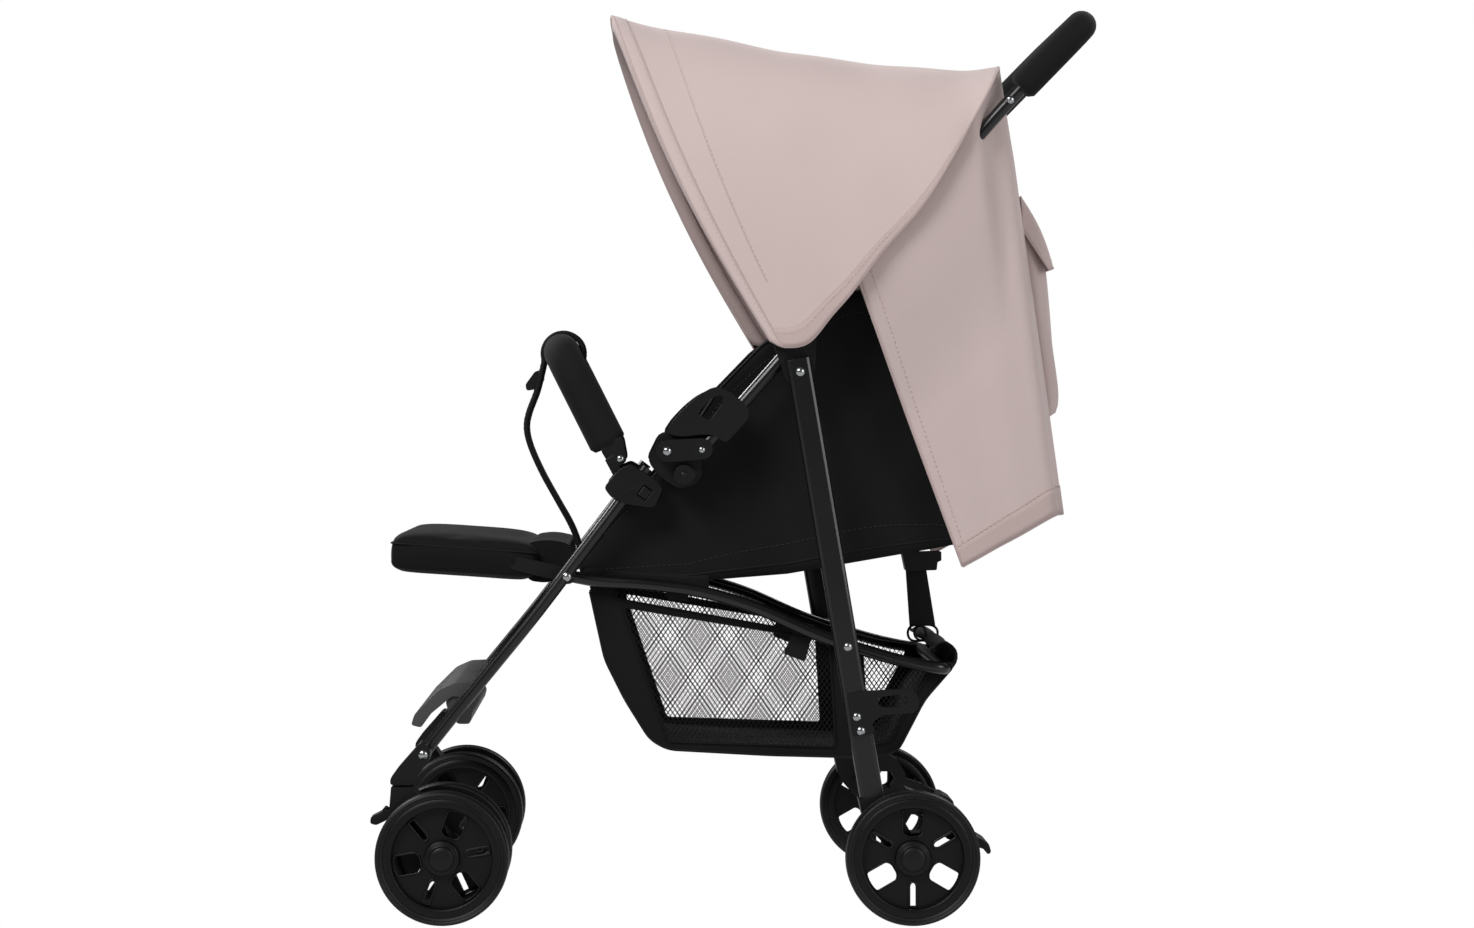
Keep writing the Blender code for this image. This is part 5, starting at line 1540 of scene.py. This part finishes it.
@dataclass
class Pad:
    """A stuffed pad between two points of the XZ plane, crowned, sewn in channels and bound at its seam.

    A channel is a share of the length. fullness is the power that rounds the pad off towards its rim,
    and seam is the piping's height, as a share of half the thickness above the rim.
    """

    name: str
    node: str
    body: str
    start: tuple
    end: tuple
    half_width: float
    thickness: float
    crown: float
    channels: tuple
    fullness: float = 0.3
    fill: float = 0.6
    seam: float = 0.0
    piping: float = 0.0022

    def frame(self) -> tuple[Points, Points, float]:
        """The pad's unit directions along and up, and its length."""
        start, end = np.array(self.start), np.array(self.end)
        length = float(np.linalg.norm(end - start))
        ahead = (end - start) / length
        return ahead, np.array([-ahead[1], ahead[0]]), length

    def face(self, s: Points, t: Points, side: float) -> Points:
        """One face, s along and t across from -1 to 1.

        With m = ((1 - s^10)(1 - t^10))^f and g = sum of exp(-((s - c) L / 9 mm)^2) over the channels,
        the height is side T m / 2, and on the top face crown m (1 - g) - 0.20 g T m more.

        Args:
            s: Places along the pad.
            t: Places across it.
            side: 1 for the top face, -1 for the lower one.

        Returns:
            The points, in the shape of s and t.
        """
        ahead, up, length = self.frame()
        m = (np.maximum((1 - s ** 10) * (1 - t ** 10), 0)) ** self.fullness
        g = sum((np.exp(-((s - (2 * c - 1)) * length / 2 / 0.009) ** 2) for c in self.channels), 0.0 * s)
        height = side * self.thickness / 2 * m
        if side > 0:
            dome = (1 - s ** 4 * 0.7) * (1 - t ** 2 * 0.4)
            height = height + self.crown * m * (1 - g) * dome - 0.2 * g * self.thickness * m
        run = (s + 1) / 2 * length
        round_off = 1 - 0.03 * np.abs(s) ** 16
        x = self.start[0] + ahead[0] * run + up[0] * height
        z = self.start[1] + ahead[1] * run + up[1] * height
        return np.stack([x, t * self.half_width * round_off, z], -1)

    def build(self) -> None:
        """Make the pad, swell it by simulation, and add its piping and quilting stitches."""
        turn_s = np.sin(np.linspace(-math.pi / 2, math.pi / 2, 90))
        turn_t = np.sin(np.linspace(-math.pi / 2, math.pi / 2, 70))
        s, t = np.meshgrid(turn_s, turn_t, indexing="ij")
        top, bottom = self.face(s, t, 1.0), self.face(s, t, -1.0)
        pad = pouch_piece(self.name, top, bottom, BLACK_PAD, 0.0002)
        puffed(pad)
        stand_in(pad, self.node, self.body)
        line = self.face(np.concatenate([turn_s, np.ones(70), turn_s[::-1], -np.ones(70)]),
                         np.concatenate([-np.ones(90), turn_t, np.ones(90), turn_t[::-1]]), 1.0)
        up = self.frame()[1]
        line = line + np.array([up[0], 0.0, up[1]]) * self.seam * self.thickness / 2
        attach(tube_piece(f"{self.name}_piping", distinct(line, 1e-5), self.piping, BINDING, 12), self.body)
        for number, channel in enumerate(self.channels):
            across = np.linspace(-0.97, 0.97, 120)
            row = self.face(np.full(120, 2 * channel - 1), across, 1.0) + np.array([0.0, 0.0, 0.0004])
            seam = stitches(f"{self.name}_stitch_{number + 1}", row, BLACK_THREAD, 0.0055, 0.0038)
            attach(seam, self.body)


@dataclass
class LegRest:
    """The legrest's pad, its neck and its two arms on the seat's pivot."""

    pivot: tuple = (-0.1916, 0.386)

    def build(self) -> None:
        """Make the pad, the neck and the arms."""
        Pad("legrest_pad", "legrest", "legrest", (-0.395, 0.41), (-0.228, 0.3985), 0.15, 0.039, 0.011,
            (), 0.1, 0.7, 0.66, 0.0011).build()
        neck = soft_corners([(-0.24, 0.423), (-0.24, 0.379), (-0.213, 0.376), (-0.192, 0.387),
                             (-0.188, 0.408), (-0.19, 0.4215), (-0.214, 0.4265)], 0.011, 8)
        sewn = plate_piece("legrest_neck", neck, (-0.1365, 0.1365), BLACK_PAD, (), 0.004)
        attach(sewn, "legrest")
        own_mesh(sewn)
        for side, sign in SIDES.items():
            outline = capsule_outline((-0.25, 0.399), self.pivot, 0.008, 0.0085)
            arm = plate_piece(f"legrest_arm_{side}", outline, (sign * 0.141, sign * 0.15), NYLON,
                              (circle(self.pivot, 0.0037, 24)[::-1],), 0.001)
            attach(arm, "legrest")


@dataclass
class Straps:
    """The crotch strap round the bumper and the recline strap with its buckle and rings."""

    def build(self) -> None:
        """Make both straps."""
        self.crotch()
        self.recline()

    def crotch(self) -> None:
        """The wide strap that wraps the bumper and hangs to the seat's front edge."""
        turn = np.radians(np.linspace(-30, 200, 60))
        ring = np.stack([-0.2 + 0.024 * np.cos(turn), 0.643 + 0.024 * np.sin(turn)], -1)
        tail = [(-0.231, 0.6), (-0.241, 0.573), (-0.244, 0.554), (-0.239, 0.532),
                (-0.225, 0.5006), (-0.2058, 0.466), (-0.193, 0.443), (-0.185, 0.425), (-0.1795, 0.408)]
        hung = through([tuple(ring[-1])] + tail, np.linspace(0, 1, 80))
        line = np.concatenate([ring, hung[1:]])
        across = np.linspace(-1, 1, 15)
        half = np.interp(np.arange(len(line)), [0, 60, 100, len(line) - 1], [0.0215, 0.0215, 0.0195, 0.02])
        bulge = 0.0016 * np.sin(np.linspace(0, 9, len(line)))[:, None] * (1 - across[None, :] ** 2)
        grid = np.stack([line[:, :1] + bulge, half[:, None] * across[None, :],
                         np.broadcast_to(line[:, 1:], (len(line), 15))], -1)
        split = int(np.argmin(np.abs(line[60:, 1] - 0.466))) + 60
        grid, foot = grid[:split + 1], grid[split:]
        cloth = cloth_sheet("crotch_cloth", grid, BLACK_PAD, 0.0052)
        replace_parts(cloth, "crotch_strap")
        made = [cloth] + self.edges("crotch", grid)
        tongue = soft_corners([(-0.244, 0.599), (-0.2452, 0.6062), (-0.234, 0.6215), (-0.2252, 0.624),
                               (-0.2235, 0.612), (-0.233, 0.601)], 0.002)
        made.append(plate_piece("crotch_tongue", tongue, (-0.019, 0.019), WEBBING, (), 0.0006))
        for piece in made:
            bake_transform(piece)
        foot_cloth = cloth_sheet("crotch_foot", foot, BLACK_PAD, 0.0052)
        for piece in [foot_cloth] + self.edges("crotch_foot", foot):
            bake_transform(piece)

    @staticmethod
    def edges(stem: str, grid: Points) -> list[Obj]:
        """The binding and the stitches along both edges of a strap.

        Args:
            stem: What the pieces' names start with.
            grid: The strap's grid.

        Returns:
            The pieces.
        """
        shifted = grid - sheet_normals(grid) * 0.0027
        made = []
        for side, edge, row in (("left", 0, 2), ("right", -1, -3)):
            made.append(tube_piece(f"{stem}_binding_{side}", grid[:, edge], 0.0032, BINDING, 12))
            made.append(stitches(f"{stem}_stitch_{side}", shifted[:, row], BLACK_THREAD))
        return made

    def recline(self) -> None:
        """The webbing behind the backrest, its sliding buckle and the wire rings that it runs through."""
        outline = [(0.2076, 0.395), (0.2315, 0.395), (0.244, 0.318), (0.213, 0.318)]
        web = plate_piece("recline_web", outline, (-0.001, 0.001), WEBBING, (), 0.0003)
        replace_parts(web, "recline_strap")
        buckle_line = soft_corners([(0.203, 0.406), (0.25, 0.4075), (0.25, 0.396), (0.2455, 0.395),
                                    (0.2445, 0.385), (0.2075, 0.384)], 0.002)
        buckle = plate_piece("recline_buckle", buckle_line, (-0.012, 0.012), NYLON, (), 0.0012)
        made = [web, buckle]
        for number, (x, y, half) in enumerate(((0.2215, -0.003, 0.0108), (0.233, 0.003, 0.014))):
            turn = np.linspace(0, 2 * math.pi, 40)
            ring = np.stack([x + half * np.sign(np.cos(turn)) * np.abs(np.cos(turn)) ** 0.7, np.full(40, y),
                             0.3095 + 0.0095 * np.sin(turn)], -1)
            made.append(tube_piece(f"recline_ring_{number + 1}", ring, 0.0015, NYLON, 10))
        for piece in made:
            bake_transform(piece)


# Basket

@dataclass
class Basket:
    """The cloth basket under the seat, with net windows in its sides."""

    half: float = 0.1445
    least_share: float = 0.31
    net_pitch: float = 0.0046
    net_lean: float = 55.0
    net_thick: float = 0.00042
    front: tuple = ((-0.1663, 0.3668), (-0.1491, 0.2889), (-0.1262, 0.2431), (-0.0975, 0.1973),
                    (-0.0769, 0.1858))
    floor: tuple = ((-0.0769, 0.1858), (0.04, 0.1795), (0.1544, 0.1767), (0.1864, 0.1835))
    rear: tuple = ((0.1864, 0.1835), (0.2174, 0.2431), (0.2562, 0.2858), (0.256, 0.301), (0.2413, 0.3111),
                   (0.229, 0.304))
    rim: tuple = ((-0.1663, 0.3668), (-0.156, 0.378), (-0.109, 0.3765), (-0.0405, 0.369), (0.0235, 0.3505),
                  (0.0874, 0.3215), (0.1242, 0.308), (0.1845, 0.2905), (0.23, 0.2835))
    windows: tuple = (
        ((-0.1286, 0.3493), (0.045, 0.3205), (0.1085, 0.3091), (0.1155, 0.1885), (-0.0762, 0.1945)),
        ((-0.1378, 0.359), (-0.135, 0.3735), (-0.109, 0.373), (-0.0405, 0.3655), (0.0235, 0.347),
         (0.05, 0.335), (0.047, 0.3262)),
        ((0.1464, 0.2985), (0.223, 0.28), (0.2128, 0.2575), (0.1961, 0.2287), (0.178, 0.195),
         (0.152, 0.19)))

    def build(self) -> None:
        """Make the front, floor and rear cloth, both sides, their nets, borders, bindings and tabs."""
        self.wrap()
        for side, sign in SIDES.items():
            self.side(side, sign)

    def wrap(self) -> None:
        """The one strip of cloth that is the basket's front, floor and rear."""
        corners = self.front + self.floor[1:] + self.rear[1:]
        line = curved([(x, 0.0, z) for x, z in corners], 0.005, 0.012)
        across = np.linspace(-1, 1, 61)
        run = np.linspace(0, 1, len(line))[:, None]
        wrinkle = 0.0012 * np.sin(12 * run + 7 * across[None, :]) * (1 - across[None, :] ** 4)
        inward = unit(np.array([0.045, 0.0, 0.27]) - line)
        grid = line[:, None] + inward[:, None] * (wrinkle + 0.0012)[..., None]
        grid = grid + across[None, :, None] * np.array([0.0, self.half - 0.0006, 0.0])
        cloth = cloth_sheet("basket_cloth", grid, BLACK, 0.0014)
        stand_in(cloth, "basket", "seat_frame")
        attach(tube_piece("basket_front_binding", grid[0], 0.0022, BINDING, 12), "seat_frame")
        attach(tube_piece("basket_rear_binding", grid[-1], 0.002, BINDING, 12), "seat_frame")
        for number, row in enumerate((6, -9)):
            seam = grid[row] - inward[row] * 0.001
            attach(stitches(f"basket_stitch_{number + 1}", seam, BLACK_THREAD), "seat_frame")

    @staticmethod
    def area(outline: Points) -> float:
        """The area in an outline: half the sum of x_i z_(i+1) - x_(i+1) z_i."""
        x, z = np.transpose(outline)
        return float(abs(x @ np.roll(z, -1) - z @ np.roll(x, -1)) / 2)

    def profile(self) -> Points:
        """The side's whole outline: front, floor, rear and rim."""
        corners = list(self.front) + list(self.floor[1:]) + [(0.2174, 0.2431), (0.254, 0.285)]
        return np.array(corners + list(self.rim[::-1][:-1]))

    def side(self, side: str, sign: float) -> None:
        """One side: the cloth border with its windows, the nets, and the bindings round both.

        Args:
            side: The side's name.
            sign: Its sign in Y.
        """
        y = sign * (self.half - 0.0008)
        windows = [soft_corners(window, 0.006, 6) for window in self.windows]
        border = plate_piece(f"basket_border_{side}", self.profile(), (y - 0.0006, y + 0.0006), BLACK,
                             [window[::-1] for window in windows], 0.0)
        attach(border, "seat_frame")
        for number, window in enumerate(windows):
            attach(self.net(f"basket_net_{number + 1}_{side}", window, y), "seat_frame")
            ring = np.insert(np.concatenate([window, window[:1]]), 1, y + sign * 0.0004, axis=1)
            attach(tube_piece(f"basket_window_binding_{number + 1}_{side}", ring, 0.0026, BINDING, 10, 0.45),
                    "seat_frame")
        edge = curved([(x, y, z) for x, z in (*self.profile(), self.profile()[0])], 0.005, 0.01)
        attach(tube_piece(f"basket_edge_binding_{side}", edge, 0.0024, BINDING, 12, 0.7), "seat_frame")
        self.tabs(side, sign)

    def net(self, name: str, window: Points, y: float) -> Obj:
        """A net of two leaning families of threads, cut to a window's outline.

        A family's thread lies at every pitch along the direction across it. Each is one bar of four
        sides between its crossings of the outline, found by the sign change of the outline's points
        along that direction.

        Args:
            name: The piece's name.
            window: The window's outline.
            y: Where the net hangs.

        Returns:
            The piece.
        """
        pitch, lean, thick = self.net_pitch, self.net_lean, self.net_thick
        bars = []
        middle = window.mean(axis=0)
        loop = np.concatenate([window, window[:1]])
        for side, angle in enumerate((lean, -lean)):
            along = np.array([math.cos(math.radians(angle)), math.sin(math.radians(angle))])
            across = np.array([-along[1], along[0]])
            place = (loop - middle) @ across
            run = (loop - middle) @ along
            levels = np.arange(math.ceil(place.min() / pitch) + 0.5, place.max() / pitch) * pitch
            a, b = place[:-1, None] - levels, place[1:, None] - levels
            crossing = a * b < 0
            share = np.where(crossing, a / np.where(crossing, a - b, 1.0), 0.0)
            hits = run[:-1, None] + (run[1:] - run[:-1])[:, None] * share
            low = np.where(crossing, hits, np.inf).min(axis=0)
            high = np.where(crossing, hits, -np.inf).max(axis=0)
            good = high - low > 2 * thick
            low, high, levels = low[good], high[good], levels[good]
            start = middle + across * levels[:, None] + along * (low[:, None] - 0.001)
            end = middle + across * levels[:, None] + along * (high[:, None] + 0.001)
            depth = y + (0.00032 if side else -0.00032)
            corners = ((-thick, -thick), (thick, -thick), (thick, thick), (-thick, thick))
            bars.append(np.stack([np.insert(base + across * wide, 1, depth + deep, axis=1)
                                  for base in (start, end) for wide, deep in corners], 1))
        return bars_piece(name, np.concatenate(bars), NETTING, smooth=False)

    def tabs(self, side: str, sign: float) -> None:
        """The tabs that hang the side from the seat's tube.

        Args:
            side: The side's name.
            sign: Its sign in Y.
        """
        y = sign * (self.half - 0.0008)
        bands = (((-0.0794, 0.3756), (-0.0533, 0.3725), (-0.0533, 0.355), (-0.077, 0.3575)),
                 ((0.0711, 0.3339), (0.0912, 0.3278), (0.0803, 0.2863), (0.0559, 0.2956)))
        for number, band in enumerate(bands):
            tab = plate_piece(f"basket_tab_{number + 1}_{side}", soft_corners(band, 0.002),
                              (y + sign * 0.0002, y + sign * 0.0016), WEBBING, (), 0.0003)
            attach(tab, "seat_frame")


# The whole

def main() -> None:
    """Build the stage and each sub-assembly in order, and log every piece that it made."""
    logging.basicConfig(level=logging.INFO, format="%(name)s: %(message)s")
    wheels = [Wheel(f"{stem}_{side}", body + side, (x, sign * y, 0.075), sign * outward, phase)
              for side, sign in SIDES.items() for stem, body, x, y, outward, phase in (
                  ("front_outer", "front_wheel_outer_", -0.3298, 0.2395, 1.0, -20.0),
                  ("front_inner", "front_wheel_inner_", -0.3298, 0.1595, -1.0, 25.0),
                  ("rear", "rear_wheel_", 0.1952, 0.2395, 1.0, 0.0))]
    seat_pad = Pad("seat_pad", "seat_cushion", "seat_frame", (-0.172, 0.409), (-0.03, 0.401), 0.13,
                   0.018, 0.006, (0.33, 0.66))
    backrest_pad = Pad("backrest_pad", "backrest", "backrest", (-0.024, 0.403), (0.3, 0.458), 0.13,
                       0.02, 0.006, (0.25, 0.5, 0.75))
    known = set(bpy.data.objects.keys())
    for part in (Stage(), Chassis(), *wheels, Hood(), HoodBack(), SeatCloth(), seat_pad, backrest_pad,
                 LegRest(), Straps(), Basket()):
        part.build()
        for name in sorted(set(bpy.data.objects.keys()) - known):
            LOG.info("%s made %s", type(part).__name__, name)
            known.add(name)


if __name__ == "__main__":
    main()
